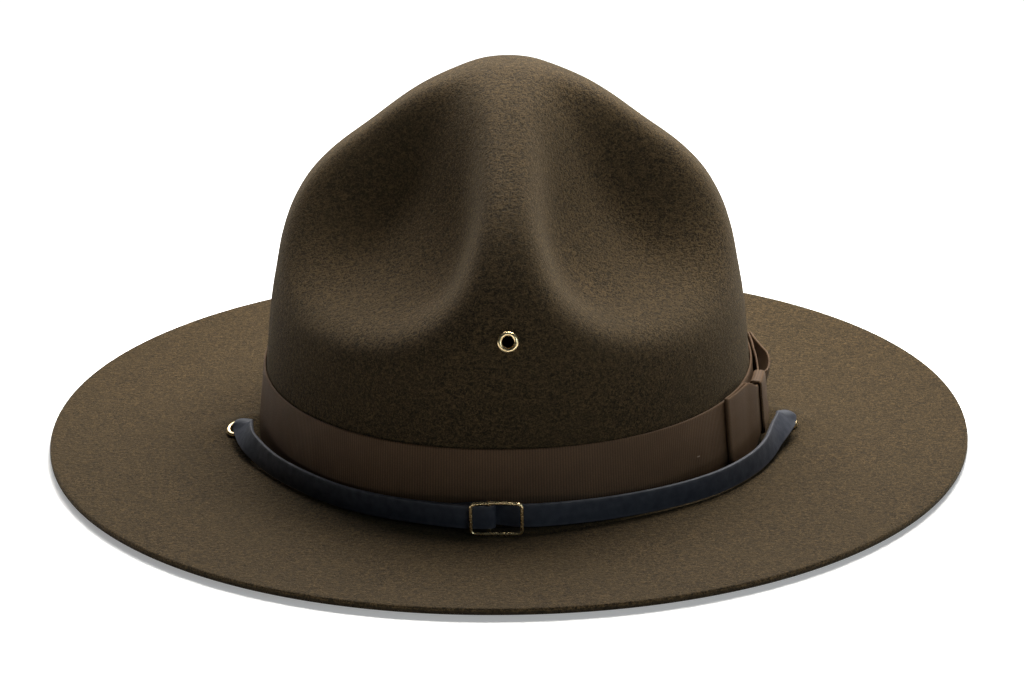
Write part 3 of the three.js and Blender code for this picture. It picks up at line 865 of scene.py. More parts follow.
    def wall(self, theta: Array, height: Array, offset: Array) -> Array:
        """Points on the lower wall of the crown, moved outwards.

        Args:
            theta: angles round the crown.
            height: heights above the brim.
            offset: distances outwards from the wall.

        Returns:
            The points.
        """
        theta, height, offset = np.broadcast_arrays(theta, height, offset)
        share = self.wall_share(height)
        half_width = self.crown_width / 2 * share
        half_length = self.crown_length / 2 * share
        plan = self.oval(theta, half_width, half_length, self.crown_squareness)
        power = self.crown_squareness - 1
        normal = np.stack(
            [
                np.sign(plan[..., 0]) * np.abs(plan[..., 0] / half_width) ** power / half_width,
                np.sign(plan[..., 1]) * np.abs(plan[..., 1] / half_length) ** power / half_length,
            ],
            axis=-1,
        )
        plan = plan + unit(normal) * offset[..., None]
        return np.concatenate([plan, (self.brim_thickness + height)[..., None]], axis=-1)

    def inward(self, theta: float) -> Array:
        """Direction in plan from the wall at an angle towards the middle of the crown."""
        return unit(self.wall(theta, 0.0, 0.0) - self.wall(theta, 0.0, MM))

    def crown(self, row: Array, theta: Array) -> Array:
        """Points on the outside of the crown.

        Args:
            row: fractional rows of the meridians.
            theta: angles round the crown.

        Returns:
            The points.
        """
        row, theta = np.broadcast_arrays(row, theta)
        table = np.array(self.meridians)
        up, side_out, front_out, front_wide, side_wide, dent_up, dent_out = (
            along_table(table[:, column], row) for column in range(table.shape[1])
        )
        ridge_out = side_out + (front_out - side_out) * np.sin(theta) ** 2
        half_width = self.crown_width / 2
        half_length = self.crown_length / 2
        ridge = self.oval(theta, half_width * ridge_out, half_length * ridge_out, self.crown_squareness)
        near_front = 1 / (1 + (ridge[..., 0] / (self.front_ridge * front_wide)) ** self.ridge_power)
        near_side = 1 / (1 + (ridge[..., 1] / (self.side_ridge * side_wide)) ** self.ridge_power)
        share = 1 - (1 - near_front) * (1 - near_side)
        out = np.maximum(dent_out + (ridge_out - dent_out) * share, 0)
        height = dent_up + (up - dent_up) * share
        plan = self.oval(theta, half_width * out, half_length * out, self.crown_squareness)
        plan[..., 0] += self.peak_aside * height**2
        return np.concatenate([plan, (self.brim_thickness + height * self.crown_height)[..., None]], axis=-1)

    def crown_normal(self, row: Array, theta: Array) -> Array:
        """Outward directions of the crown.

        Args:
            row: fractional rows of the meridians.
            theta: angles round the crown.

        Returns:
            The directions.
        """
        step = self.normal_step
        up = self.crown(row + step, theta) - self.crown(row - step, theta)
        around = self.crown(row, theta + step) - self.crown(row, theta - step)
        return unit(np.cross(around, up))

    def even_angles(self, count: int) -> Array:
        """Angles round the crown at equal steps along its foot.

        Args:
            count: how many.

        Returns:
            The angles.
        """
        fine = np.linspace(0, TURN, count * 4 + 1)
        run = run_along(self.wall(fine, 0.0, 0.0))
        return np.interp(np.arange(count) / count * run[-1], run, fine)

    def round_length(self) -> float:
        """Length round the foot of the crown."""
        return float(run_along(self.wall(np.linspace(0, TURN, self.foot_steps + 1), 0.0, 0.0))[-1])


@dataclass(frozen=True)
class EyeletSize:
    """Sizes of one kind of eyelet."""

    outer: float
    bore: float
    felt: float
    tube: float = 0.4 * MM
    roll: float = 1.1 * MM
    flange: float = 0.4 * MM
    flange_share: float = 0.4
    gap: float = 0.5 * MM


@dataclass(frozen=True)
class Seat:
    """Middle of the felt and its outward direction where an eyelet sits."""

    point: Array
    normal: Array

    def placement(self) -> Matrix:
        """Place and turn that carry +Z to the seat's direction."""
        turn = Vector(self.normal).to_track_quat("Z", "Y").to_matrix().to_4x4()
        return Matrix.Translation(Vector(self.point)) @ turn


@dataclass
class Piece:
    """What every sub-assembly shares.

    Attributes:
        form: form of the felt that it sits on.
        material: its finish, ready made.
    """

    form: HatForm
    material: bpy.types.Material

    def dress(self, made: bpy.types.Object, slot: Slot, *nodes: str) -> bpy.types.Object:
        """Gives a piece its finish and ties it to the frame.

        Args:
            made: the piece.
            slot: the record's slot of its finish; not used.
            nodes: nodes of the frame that it stands for.

        Returns:
            The piece.
        """
        made.data.materials.clear()
        made.data.materials.append(self.material)
        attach(made, "root")
        if nodes:
            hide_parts(*nodes)
        log.info("%s: %d faces", made.name, len(made.data.polygons))
        return made


# Sub-assemblies


@dataclass
class FeltBody(Piece):
    """Crown and brim pressed from one felt, open at the head, with its eyelet holes."""

    columns: int = 360
    crown_steps: int = 7
    brim_steps: int = 34
    under_steps: int = 24
    inside_steps: int = 3
    rim_corner: float = 0.75 * MM
    rim_corner_steps: int = 4
    hole_sides: int = 48
    slope_step: float = 0.5 * MM

    def seat_of_vent(self) -> Seat:
        """Seat of the eyelet high on the front of the crown.

        Returns:
            The seat.
        """
        form = self.form
        heights = [row[0] for row in form.meridians]
        row = np.interp(form.vent_height / form.crown_height, heights, np.arange(len(heights)))
        normal = form.crown_normal(np.array(row), np.array(FRONT))
        point = form.crown(np.array(row), np.array(FRONT)) - normal * form.crown_wall / 2
        return Seat(point, normal)

    def seat_of_brim(self, side: Side) -> Seat:
        """Seat of the eyelet in the brim.

        Args:
            side: which side.

        Returns:
            The seat.
        """
        form = self.form
        step = self.slope_step
        x, y = form.eyelet_place(side.value)
        slope_x = (form.rise(x + step, y) - form.rise(x - step, y)) / (2 * step)
        slope_y = (form.rise(x, y + step) - form.rise(x, y - step)) / (2 * step)
        point = np.array([x, y, form.brim_thickness / 2 + float(form.rise(x, y))])
        return Seat(point, unit(np.array([-float(slope_x), -float(slope_y), 1.0])))

    def brim_ring(self, theta: Array, out: float, height: float) -> Array:
        """One ring of points round the brim.

        Args:
            theta: angles round the hat.
            out: share of the brim's width.
            height: height above the floor before the rim's lift.

        Returns:
            The ring.
        """
        form = self.form
        half_width = form.crown_width / 2
        half_length = form.crown_length / 2
        foot = form.meridians[0][1]
        inner = form.oval(theta, half_width * foot, half_length * foot, form.crown_squareness)
        rim = form.oval(theta, half_width + form.brim_width, half_length + form.brim_width, form.brim_squareness)
        plan = inner + (rim - inner) * out
        flat = form.rim_flat_share
        lift = form.rim_lift * max((out - flat) / (1 - flat), 0) ** form.rim_lift_power
        points = np.concatenate([plan, np.full((len(theta), 1), height + lift)], axis=-1)
        return form.lifted(points)

    def rim_rings(self, theta: Array) -> list[Array]:
        """Rings over the rounded corners of the cut edge, from top to bottom.

        Args:
            theta: angles round the hat.

        Returns:
            The rings.
        """
        rings = []
        for corner in (1, -1):
            for step in range(self.rim_corner_steps + 1):
                angle = step / self.rim_corner_steps * math.pi / 2
                angle = angle if corner == 1 else math.pi / 2 - angle
                out = 1 - self.rim_corner * (1 - math.sin(angle)) / self.form.brim_width
                sink = self.rim_corner * (1 - math.cos(angle))
                height = self.form.brim_thickness - sink if corner == 1 else sink
                rings.append(self.brim_ring(theta, out, height))
        return rings

    def shell(self) -> Loft:
        """Shell before the eyelets pierce it.

        Returns:
            The loft of the shell.
        """
        form = self.form
        theta = form.columns(self.columns)
        last = len(form.meridians) - 1
        rows = np.arange(0, last, 1 / self.crown_steps)
        outside = form.lifted(form.crown(rows[:, None], theta[None, :]))
        inner_rows = np.arange(1 / self.inside_steps, last, 1 / self.inside_steps)[:, None]
        inside = form.crown(inner_rows, theta) - form.crown_normal(inner_rows, theta) * form.crown_wall
        near_rim = 1 - self.rim_corner / form.brim_width
        top = [
            self.brim_ring(theta, share * near_rim, form.brim_thickness)
            for share in np.arange(1, self.brim_steps) / self.brim_steps
        ]
        under = [
            self.brim_ring(theta, share * near_rim, 0) for share in np.arange(1, self.under_steps) / self.under_steps
        ]
        foot = form.wall(theta, 0.0, -form.crown_wall / 2)
        foot[:, 2] = 0
        rings = [
            *outside[::-1],
            *top,
            *self.rim_rings(theta),
            *under[::-1],
            form.lifted(foot),
            form.lifted(form.wall(theta, 0.0, -form.crown_wall)),
            *form.lifted(inside),
        ]
        peak = np.array([form.peak_aside, 0, form.brim_thickness + form.crown_height])
        return Loft(np.array(rings), tips=np.array([peak, peak - [0, 0, form.crown_wall]]))

    def drill(self, name: str, seat: Seat, size: EyeletSize) -> bpy.types.Object:
        """Rod that cuts the felt where an eyelet passes.

        Args:
            name: name of the rod.
            seat: where it passes.
            size: the eyelet's sizes.

        Returns:
            The rod.
        """
        radius = size.bore / 2 + size.tube + self.form.seat_gap
        angles = circle(self.hole_sides)
        half_length = 2 * self.form.brim_thickness
        rings = np.array(
            [
                np.stack([radius * np.cos(angles), radius * np.sin(angles), np.full(len(angles), z)], axis=-1)
                for z in (-half_length, half_length)
            ]
        )
        rod = Loft(rings).build(name)
        rod.data.transform(seat.placement())
        return rod

    def build(self, holes: Sequence[tuple[Seat, EyeletSize]]) -> bpy.types.Object:
        """Builds the felt body and cuts its holes.

        Args:
            holes: seat and sizes of each eyelet.

        Returns:
            The felt body.
        """
        body = self.shell().build("felt_body_fine")
        for number, (seat, size) in enumerate(holes):
            combine(body, self.drill(f"drill_{number}", seat, size), "DIFFERENCE")
        body.data.set_sharp_from_angle(angle=math.radians(CREASE))
        return self.dress(body, Slot.FELT, "felt_body")


@dataclass
class RibbedRibbon(Piece):
    """What the band, the bow and the knot share: a ribbon with ribs across it."""

    thickness: float = 0.8 * MM
    pitch: float = 0.93 * MM
    rib_depth: float = 0.09 * MM
    edge_soft: float = 0.34 * MM
    scallop: float = 0.05 * MM
    thin_edge: float = 0.04 * MM
    rib_power: float = 0.8
    crease: float = 75
    row_shares: Span = (0, 0.006, 0.02, 0.05, 0.16, 0.33, 0.5, 0.67, 0.84, 0.95, 0.98, 0.994, 1)

    def rib(self, run: Array) -> Array:
        """Height of the ribs from 0 in a groove to 1 on a rib.

        Args:
            run: distances along the ribbon.

        Returns:
            The shares.
        """
        return np.abs(np.cos(math.pi * run / self.pitch)) ** self.rib_power

    def edge_sink(self, share: Array, width: float) -> Array:
        """How far the face sinks towards the rounded edges of the ribbon, as a share of half its thickness.

        Args:
            share: place across the width, from 0 to 1.
            width: width of the ribbon.

        Returns:
            The shares.
        """
        inside = np.minimum(share, 1 - share) * width / self.edge_soft
        return 1 - np.sqrt(np.clip(1 - (1 - np.clip(inside, 0, 1)) ** 2, 0, 1))

    def skin(
        self, name: str, run: Array, width: float, place: Callable[[Array, Array, Array], Array]
    ) -> bpy.types.Object:
        """Builds a closed loop of ribbon.

        Args:
            name: name of the piece.
            run: distances along the ribbon, one a ring.
            width: width of the ribbon.
            place: gives the point for a ring number, a share across and an offset from the middle of the ribbon.

        Returns:
            The ribbon.
        """
        shares = np.array(self.row_shares)
        half_thickness = self.thickness / 2
        face = half_thickness * (1 - self.edge_sink(shares, width))
        rib = self.rib(run)[:, None]
        rings = np.arange(len(run))[:, None]
        sunk = face[None, :] - self.rib_depth * (1 - rib) * np.minimum(face / half_thickness, 1)
        tuck = (shares - 0.5) * 2 * self.scallop / width * (1 - rib)
        front = place(rings, shares[None, :] - tuck, np.maximum(sunk, self.thin_edge))
        back = place(rings, shares[None, ::-1], -np.maximum(face[None, ::-1], self.thin_edge) + 0 * rings)
        made = Loft(np.concatenate([front, back], axis=1), closed=True).build(name, self.crease)
        across = np.concatenate([shares, shares[::-1]]) * width
        grid = np.stack(np.broadcast_arrays(run[:, None], across[None, :], 0 * run[:, None]), axis=-1)
        paint(made, "weave", grid.reshape(-1, 3))
        # The finish paints the ribbon darker where this rib height is low: painted shade in the grooves; the back face
        # gets none
        ribs = np.concatenate([rib + 0 * shares, np.ones((len(run), len(shares)))], axis=1)
        paint(made, "rib", ribs.reshape(-1))
        return made


@dataclass
class RibbonBand(RibbedRibbon):
    """Ribbon sewn round the foot of the crown."""

    foot: float = 1.6 * MM
    steps_per_rib: int = 4
    pucker: float = 0.16 * MM
    # Puckers: how many round the hat, share of their depth and where they start
    waves: tuple[Span, ...] = ((23, 1, 0), (41, 0.7, 1.3), (67, 0.5, 0.4))

    def build(self) -> bpy.types.Object:
        """Builds the band.

        Returns:
            The band.
        """
        form = self.form
        count = round(form.round_length() / self.pitch) * self.steps_per_rib
        theta = form.even_angles(count)
        run = np.arange(count) / self.steps_per_rib * self.pitch
        wave = sum(depth * np.sin(theta * puckers + start) for puckers, depth, start in self.waves)
        wave_reach = sum(depth for _, depth, _ in self.waves)
        seat = form.seat_gap + self.thickness / 2

        def place(ring: Array, share: Array, offset: Array) -> Array:
            """Point of the band for a ring number, a share of its height and an offset."""
            loose = self.pucker * (1 + wave[ring] / wave_reach) / 2 * np.sin(math.pi * np.clip(share, 0, 1))
            return form.lifted(form.wall(theta[ring], self.foot + share * form.ribbon_height, seat + loose + offset))

        return self.dress(self.skin("ribbon_band_fine", run, form.ribbon_height, place), Slot.RIBBON, "ribbon_band")


@dataclass
class FlatBow(RibbedRibbon):
    """Flat bow: one closed strip of ribbon folded at both ends, drawn in and lifted where the knot holds it."""

    length: float = 72 * MM
    ahead_of_side: float = 22 * MM
    foot: float = 1.6 * MM
    lift: float = 1.2 * MM
    waist: float = 17 * MM
    flare: float = 12 * MM
    ramp: float = 16 * MM
    # How far the outer layer bulges off the inner one: its skew towards the knot, the share left at its foot, the
    # share in the flatter loop towards the back, and the dip at mid-height
    bulge: float = 3.4 * MM
    puff_skew: float = 0.5
    foot_share: float = 0.4
    far_share: float = 0.12
    dip: float = 1.7 * MM
    knot_width: float = 12 * MM
    knot_thickness: float = 0.9 * MM
    knot_gap: float = 0.35 * MM
    knot_roundness: float = 0.55
    step: float = 0.24 * MM
    fold_steps: int = 9
    mean_bulge: float = 0.7

    def layers(self) -> dict[str, float]:
        """Distances from the crown wall to the middles of the layers of the bow and knot.

        Returns:
            The distances by name.
        """
        gap = self.form.seat_gap
        flat = gap + self.thickness + gap + self.thickness / 2
        knot_back = gap + self.thickness + self.knot_gap + self.knot_thickness / 2
        held = knot_back + self.knot_thickness / 2 + self.knot_gap + self.thickness / 2
        apart = self.thickness + gap
        knot_front = held + apart + self.thickness / 2 + self.knot_gap + self.knot_thickness / 2
        return {"flat": flat, "held": held, "apart": apart, "knot_back": knot_back, "knot_front": knot_front}

    def angle(self, distance: Array) -> Array:
        """Angle round the crown of a distance behind its widest place."""
        return distance / (self.form.crown_length / 2)

    def grip(self) -> float:
        """Length of the bow on each side of its middle that the knot holds."""
        return self.knot_width / 2 + self.knot_gap

    def hold(self, distance: Array, reach: float) -> Array:
        """How much the knot holds the bow.

        Args:
            distance: distances from the middle of the bow.
            reach: how far past the knot its hold is felt.

        Returns:
            The shares.
        """
        return 1 - smooth_step(np.abs(distance) - self.grip(), 0, reach)

    def path(self) -> tuple[Array, Array, Array]:
        """Middle line of the strip, as distances along the side and offsets from the wall.

        Returns:
            Distances, offsets and how loose the strip is at each step.
        """
        layers = self.layers()
        reach = self.length / 2
        radius = layers["apart"] / 2
        count = round(self.length / self.step)
        straight = np.linspace(-reach, reach, count + 1)[1:-1]
        stand = layers["flat"] + (layers["held"] - layers["flat"]) * self.hold(straight, self.ramp)
        free = np.maximum(np.abs(straight) - self.grip(), 0) / (reach - self.grip())
        puff = np.sin(math.pi * free**self.puff_skew) ** 2 * np.where(straight < 0, self.far_share, 1)
        turn = np.linspace(-math.pi / 2, math.pi / 2, self.fold_steps)
        fold = layers["flat"] + radius
        along = np.concatenate(
            [straight, reach + radius * np.cos(turn), straight[::-1], -reach - radius * np.cos(turn)]
        )
        offset = np.concatenate(
            [stand, fold + radius * np.sin(turn), stand[::-1] + layers["apart"], fold - radius * np.sin(turn)]
        )
        loose = np.concatenate([0 * puff, 0 * turn, puff[::-1], 0 * turn])
        return along, offset, loose

    def build(self) -> bpy.types.Object:
        """Builds the bow.

        Returns:
            The bow.
        """
        form = self.form
        along, offset, loose = self.path()
        line = np.stack([along, offset + loose * self.bulge * self.mean_bulge], axis=-1)
        ahead = loop_directions(line)
        run = np.cumsum(np.linalg.norm(line - np.roll(line, 1, axis=0), axis=1))
        low = self.foot + self.lift

        def place(ring: Array, share: Array, out: Array) -> Array:
            """Point of the bow for a ring number, a share of its height and an offset."""
            inside = np.clip(share, 0, 1)
            drawn = (form.ribbon_height - self.waist) / 2 * self.hold(along[ring], self.flare)
            height = drawn + share * (form.ribbon_height - 2 * drawn)
            puffed = self.bulge * (1 - (1 - self.foot_share) * (1 - inside))
            puffed = puffed - self.dip * np.sin(math.pi * inside) ** 2
            stand = offset[ring] + loose[ring] * puffed - out * ahead[ring, 0]
            distance = along[ring] + out * ahead[ring, 1] - self.ahead_of_side
            return form.lifted(form.wall(self.angle(distance), low + height, stand))

        return self.dress(self.skin("bow_fine", run, form.ribbon_height, place), Slot.RIBBON, "bow")


@dataclass
class BowKnot(RibbedRibbon):
    """Short ribbon wrapped round the middle of the bow."""

    bow: FlatBow | None = None
    corner_steps: int = 8

    def build(self) -> bpy.types.Object:
        """Builds the knot.

        Returns:
            The knot.
        """
        form = self.form
        bow = self.bow
        layers = bow.layers()
        clearance = bow.knot_gap + bow.knot_thickness / 2
        middle_height = bow.foot + bow.lift + form.ribbon_height / 2
        low = middle_height - bow.waist / 2 - clearance
        high = middle_height + bow.waist / 2 + clearance
        corner = (layers["knot_front"] - layers["knot_back"]) / 2 * bow.knot_roundness
        turns = (
            (high - corner, layers["knot_back"] + corner, -0.5),
            (high - corner, layers["knot_front"] - corner, 0.0),
            (low + corner, layers["knot_front"] - corner, 0.5),
            (low + corner, layers["knot_back"] + corner, 1.0),
        )
        heights: list[float] = []
        offsets: list[float] = []
        for middle_up, middle_out, start in turns:
            angles = (start + np.linspace(0, 0.5, self.corner_steps)) * math.pi
            heights += list(middle_up + corner * np.cos(angles))
            offsets += list(middle_out + corner * np.sin(angles))
        closed = np.array([heights + heights[:1], offsets + offsets[:1]]).T
        coarse = run_along(closed)
        run = np.arange(0, coarse[-1], bow.step)
        line = np.stack([np.interp(run, coarse, closed[:, 0]), np.interp(run, coarse, closed[:, 1])], axis=-1)
        ahead = loop_directions(line)

        def place(ring: Array, share: Array, out: Array) -> Array:
            """Point of the knot for a ring number, a share across its width and an offset."""
            distance = (share - 0.5) * bow.knot_width - bow.ahead_of_side
            height = line[ring, 0] + out * ahead[ring, 1]
            return form.lifted(form.wall(bow.angle(distance), height, line[ring, 1] - out * ahead[ring, 0]))

        return self.dress(self.skin("bow_knot_fine", run, bow.knot_width, place), Slot.RIBBON, "bow_knot")


@dataclass(frozen=True)
class Station:
    """One place along the strap: its middle, the direction across its width, and the share of its width there."""

    point: Array
    across: Array
    span: float


@dataclass
class BuckleLayout:
    """Where the layers of strap and brass lie at the buckle."""

    form: HatForm
    strap_thickness: float = 1.4 * MM
    ribbon_thickness: float = 0.8 * MM
    length: float = 18 * MM
    height: float = 11.6 * MM
    wire: float = 1.15 * MM
    corner: float = 1.4 * MM
    bar_wire: float = 1.1 * MM
    bar_aside: float = 2.4 * MM
    aside: float = 3.4 * MM

    def layers(self) -> dict[str, float]:
        """Distances from the crown wall to the layers, inside to outside.

        Returns:
            The distances by name.
        """
        gap = self.form.seat_gap
        tail = gap + self.ribbon_thickness + gap + self.strap_thickness / 2
        fold_back = tail + self.strap_thickness + gap
        fold_radius = (self.bar_wire + self.strap_thickness) / 2 + gap
        bar = fold_back + fold_radius
        fold_front = bar + fold_radius
        frame_out = fold_front + self.strap_thickness / 2 + gap + self.wire / 2
        return {
            "tail": tail,
            "fold_back": fold_back,
            "fold_radius": fold_radius,
            "bar": bar,
            "fold_front": fold_front,
            "frame": frame_out,
        }

    def middle(self) -> float:
        """Height of the middle of the buckle above the brim."""
        return 2 * self.form.seat_gap + self.height / 2

    def angle(self, distance: float) -> float:
        """Angle round the crown of a distance to the right of the front."""
        return FRONT + distance / (self.form.crown_width / 2)


@dataclass
class Strap(Piece):
    """Leather strap: round the front on edge, through the brim eyelets and round the inside of the crown."""

    layout: BuckleLayout | None = None
    seats: dict[Side, Seat] = field(default_factory=dict)
    width: float = 8 * MM
    thickness: float = 1.4 * MM
    foot: float = 0.9 * MM
    tail_length: float = 22 * MM
    fold_length: float = 13 * MM
    end_drop: float = 1.3 * MM
    edge_round: float = 0.42 * MM
    steps_between: int = 8
    squeeze: float = 0.2
    most_bend: float = 2.4
    curl_share: float = 0.6
    curl_from: float = 1.6 * MM
    curl_to: float = 3 * MM
    least_bend: float = 0.01
    bend_steps: int = 60
    corner_steps: int = 4
    fold_steps: int = 7
    face_shares: Span = (0.93, 0.75, 0.5, 0.25, 0, -0.25, -0.5, -0.75, -0.93)
    edge_reach: float = 2.2
    least_gap: float = 1e-6
    crease: float = 60
    out_and_up: float = 0.15
    # Beside the crown: turn in degrees from the front, stand off, lift and lean in degrees
    beside_left: tuple[Span, ...] = (
        (11, 0.64, 0.18, 0),
        (18, 0.46, 0.14, 0),
        (27, 0.28, 0.05, 0),
        (38, 0.22, 0, 0),
        (50, 0.24, 0, 2),
        (60, 0.36, 0, 6),
        (68, 0.5, 0.06, 14),
        (74, 0.66, 0.2, 26),
    )
    beside_right: tuple[Span, ...] = (
        (7, 0.52, 0.18, 0),
        (16, 0.34, 0.1, 0),
        (25, 0.28, 0.04, 0),
        (36, 0.4, 0, 0),
        (48, 0.66, 0, 2),
        (60, 0.82, 0, 6),
        (68, 0.88, 0.06, 14),
        (74, 0.9, 0.2, 26),
    )
    # Free end behind the buckle: shares of the buckle's length from the bar, and how far it has sunk
    tuck: tuple[Span, ...] = ((0.36, 0.26), (0.16, 0.8), (0, 1))
    # Through the eyelet: ahead, inward on the left and right, up, extra rise on the right, share of the width and
    # lean in degrees
    dive: tuple[Span, ...] = (
        (0.82, 0.2, 0, 0.66, 0.12, 1, 56),
        (0.42, 0.26, 0.06, 0.76, 0.1, 0.86, 78),
        (0.1, 0.2, 0.1, 0.64, 0.04, 0.56, 90),
        (0, 0.09, 0.09, 0.46, 0, 0.36, 90),
        (0, 0.09, 0.09, -0.18, 0, 0.36, 90),
    )
    # Under the brim: behind, inside, up, lean in degrees and share of the width
    under: tuple[Span, ...] = (
        (0.22, 0.17, 0.155, 90, 0.52),
        (0.62, 0.48, 0.135, 90, 0.8),
        (1.2, 0.98, 0.135, 90, 1),
        (2, 1.88, 0.31, 68, 1),
    )
    # Inside the crown: turn in degrees from the front, stand off, height of its middle and lean in degrees
    inside: tuple[Span, ...] = (
        (108, 0.4, 0.5, 46),
        (117, 0.14, 0.57, 14),
        (128, 0, 0.57, 0),
        (140, 0, 0.57, 0),
        (153, 0, 0.57, 0),
        (166, 0, 0.57, 0),
    )

    def station(self, point: Array, inward: Array, lean: float, span: float) -> Station:
        """Makes a station that leans towards a direction.

        Args:
            point: its middle.
            inward: direction that it leans to.
            lean: degrees from upright.
            span: share of the strap's width.

        Returns:
            The station.
        """
        angle = math.radians(lean)
        return Station(point, np.array([0, 0, math.cos(angle)]) + inward * math.sin(angle), span)

    def at_buckle(self, side: Side) -> list[Station]:
        """Stations at the buckle, from the folded end to the left or from the right to the tail.

        Args:
            side: which end of the strap.

        Returns:
            The stations.
        """
        layout = self.layout
        layers = layout.layers()

        def at(distance: float, offset: float, drop: float = 0) -> Station:
            """Station at a distance right of the buckle's middle, an offset from the wall and a drop."""
            theta = layout.angle(distance - layout.aside)
            point = self.form.wall(theta, 0.0, offset) + np.array([0, 0, layout.middle() - drop])
            return self.station(point, self.form.inward(theta), 0, 1)

        bar = -layout.bar_aside
        if side is Side.LEFT:
            turn = np.linspace(-math.pi / 2, math.pi / 2, self.fold_steps)
            radius = layers["fold_radius"]
            fold = [at(bar + radius * math.cos(a), layers["bar"] + radius * math.sin(a)) for a in turn]
            return [
                at(bar - self.fold_length, layers["fold_back"], self.end_drop),
                at(bar - self.fold_length / 2, layers["fold_back"], self.end_drop / 2),
                *fold,
                at((bar - layout.length / 2) / 2, layers["fold_front"]),
                at(-layout.length / 2, layers["fold_front"]),
            ]
        sink = layers["tail"] - layers["bar"]
        return [
            at(layout.length / 2, layers["bar"]),
            *[at(bar + along * layout.length, layers["bar"] + sunk * sink) for along, sunk in self.tuck],
            at(bar - self.tail_length / 2, layers["tail"], self.end_drop),
            at(bar - self.tail_length, layers["tail"], self.end_drop),
        ]

    def beside(self, side: Side) -> list[Station]:
        """Stations beside the crown, from the buckle to the eyelet.

        Args:
            side: which side.

        Returns:
            The stations.
        """
        made = []
        for turn, stand, lift, lean in self.beside_left if side is Side.LEFT else self.beside_right:
            theta = FRONT + side.value * math.radians(turn)
            point = self.form.wall(theta, 0.0, stand * self.form.eyelet_reach)
            rise = float(self.form.rise(point[0], point[1]))
            standing = self.width / 2 * math.cos(math.radians(lean))
            point[2] += self.foot + standing + lift * self.width + rise
            made.append(self.station(point, self.form.inward(theta), lean, 1))
        return made

    def inside_point(self, theta: float) -> Array:
        """Middle of a strap that stands on edge inside the crown."""
        offset = -self.form.crown_wall - 2 * self.form.seat_gap - self.thickness / 2
        return self.form.wall(theta, self.width, offset)

    def hidden(self, side: Side, arrival: Array) -> list[Station]:
        """Stations through the eyelet, under the brim and round the inside of the crown.

        Args:
            side: which side.
            arrival: where the strap comes from.

        Returns:
            The stations.
        """
        seat = self.seats[side]
        inward = np.array([-side.value, 0.0, 0.0])
        ahead = unit((arrival - seat.point) * np.array([1, 1, 0]))
        made = []
        for along, left, right, up, rise, span, lean in self.dive:
            inside, above = (left, up) if side is Side.LEFT else (right, up + rise)
            point = seat.point + (ahead * along + inward * inside + seat.normal * above) * self.width
            made.append(self.station(point, inward, lean, span))
        for behind, inside, up, lean, span in self.under:
            x = seat.point[0] - side.value * inside * self.width
            y = seat.point[1] + behind * self.width
            made.append(self.station(np.array([x, y, up * self.width]), inward, lean, span))
        for turn, stand, up, lean in self.inside:
            theta = FRONT + side.value * math.radians(turn)
            inwards = self.form.inward(theta)
            point = self.inside_point(theta) + inwards * stand * self.width
            point[2] = up * self.width
            made.append(self.station(point, inwards, lean, 1))
        return made

    def stations(self) -> list[Station]:
        """All stations, from the end folded round the bar to the tail behind the buckle.

        Returns:
            The stations.
        """
        halves = []
        for side in Side:
            beside = self.beside(side)
            halves.append(beside + self.hidden(side, beside[-1].point))
        back = self.inside_point(math.pi / 2)
        back[2] = self.inside[-1][2] * self.width
        middle = self.station(back, self.form.inward(math.pi / 2), 0, 1)
        return [*self.at_buckle(Side.LEFT), *halves[0], middle, *halves[1][::-1], *self.at_buckle(Side.RIGHT)]

    def section(self, span: float, curl: float) -> tuple[Array, Array]:
        """Rounded section of the strap, curled down where it is squeezed together.

        Args:
            span: share of the width that it spans.
            curl: how much of the squeeze is taken up by curling.

        Returns:
            Places across and through, and how near each is to an edge.
        """
        half_width = self.width / 2
        half_thick = self.thickness / 2 * (1 - self.squeeze * (1 - span))
        corner = self.edge_round * half_thick * 2 / self.thickness
        outline = []
        for x_sign, y_sign, start in ((1, 1, 0), (-1, 1, 0.5), (-1, -1, 1), (1, -1, 1.5)):
            for step in range(self.corner_steps + 1):
                angle = (start + step / self.corner_steps / 2) * math.pi
                outline.append(
                    (
                        x_sign * (half_width - corner) + corner * math.cos(angle),
                        y_sign * (half_thick - corner) + corner * math.sin(angle),
                    )
                )
            if y_sign * x_sign > 0:
                outline += [
                    (x_sign * (half_width - corner) * share, y_sign * half_thick)
                    for share in self.face_shares
                ]
        places = np.array(outline)
        near_edge = np.clip((np.abs(places[:, 0]) - half_width + self.edge_reach * corner) / corner, 0, 1)
        bends = np.linspace(self.most_bend, self.least_bend, self.bend_steps)
        bend = self.curl_share * curl * float(np.interp(span, np.sin(bends) / bends, bends))
        if bend < 2 * self.least_bend:
            places[:, 0] *= span
            return places, near_edge
        places[:, 0] *= span / (math.sin(bend) / bend)
        radius = half_width / bend * span / (math.sin(bend) / bend)
        angle = places[:, 0] / radius
        reach = radius + places[:, 1]
        sag = radius * (1 + math.cos(bend)) / 2
        return np.stack([reach * np.sin(angle), reach * np.cos(angle) - sag], axis=-1), near_edge

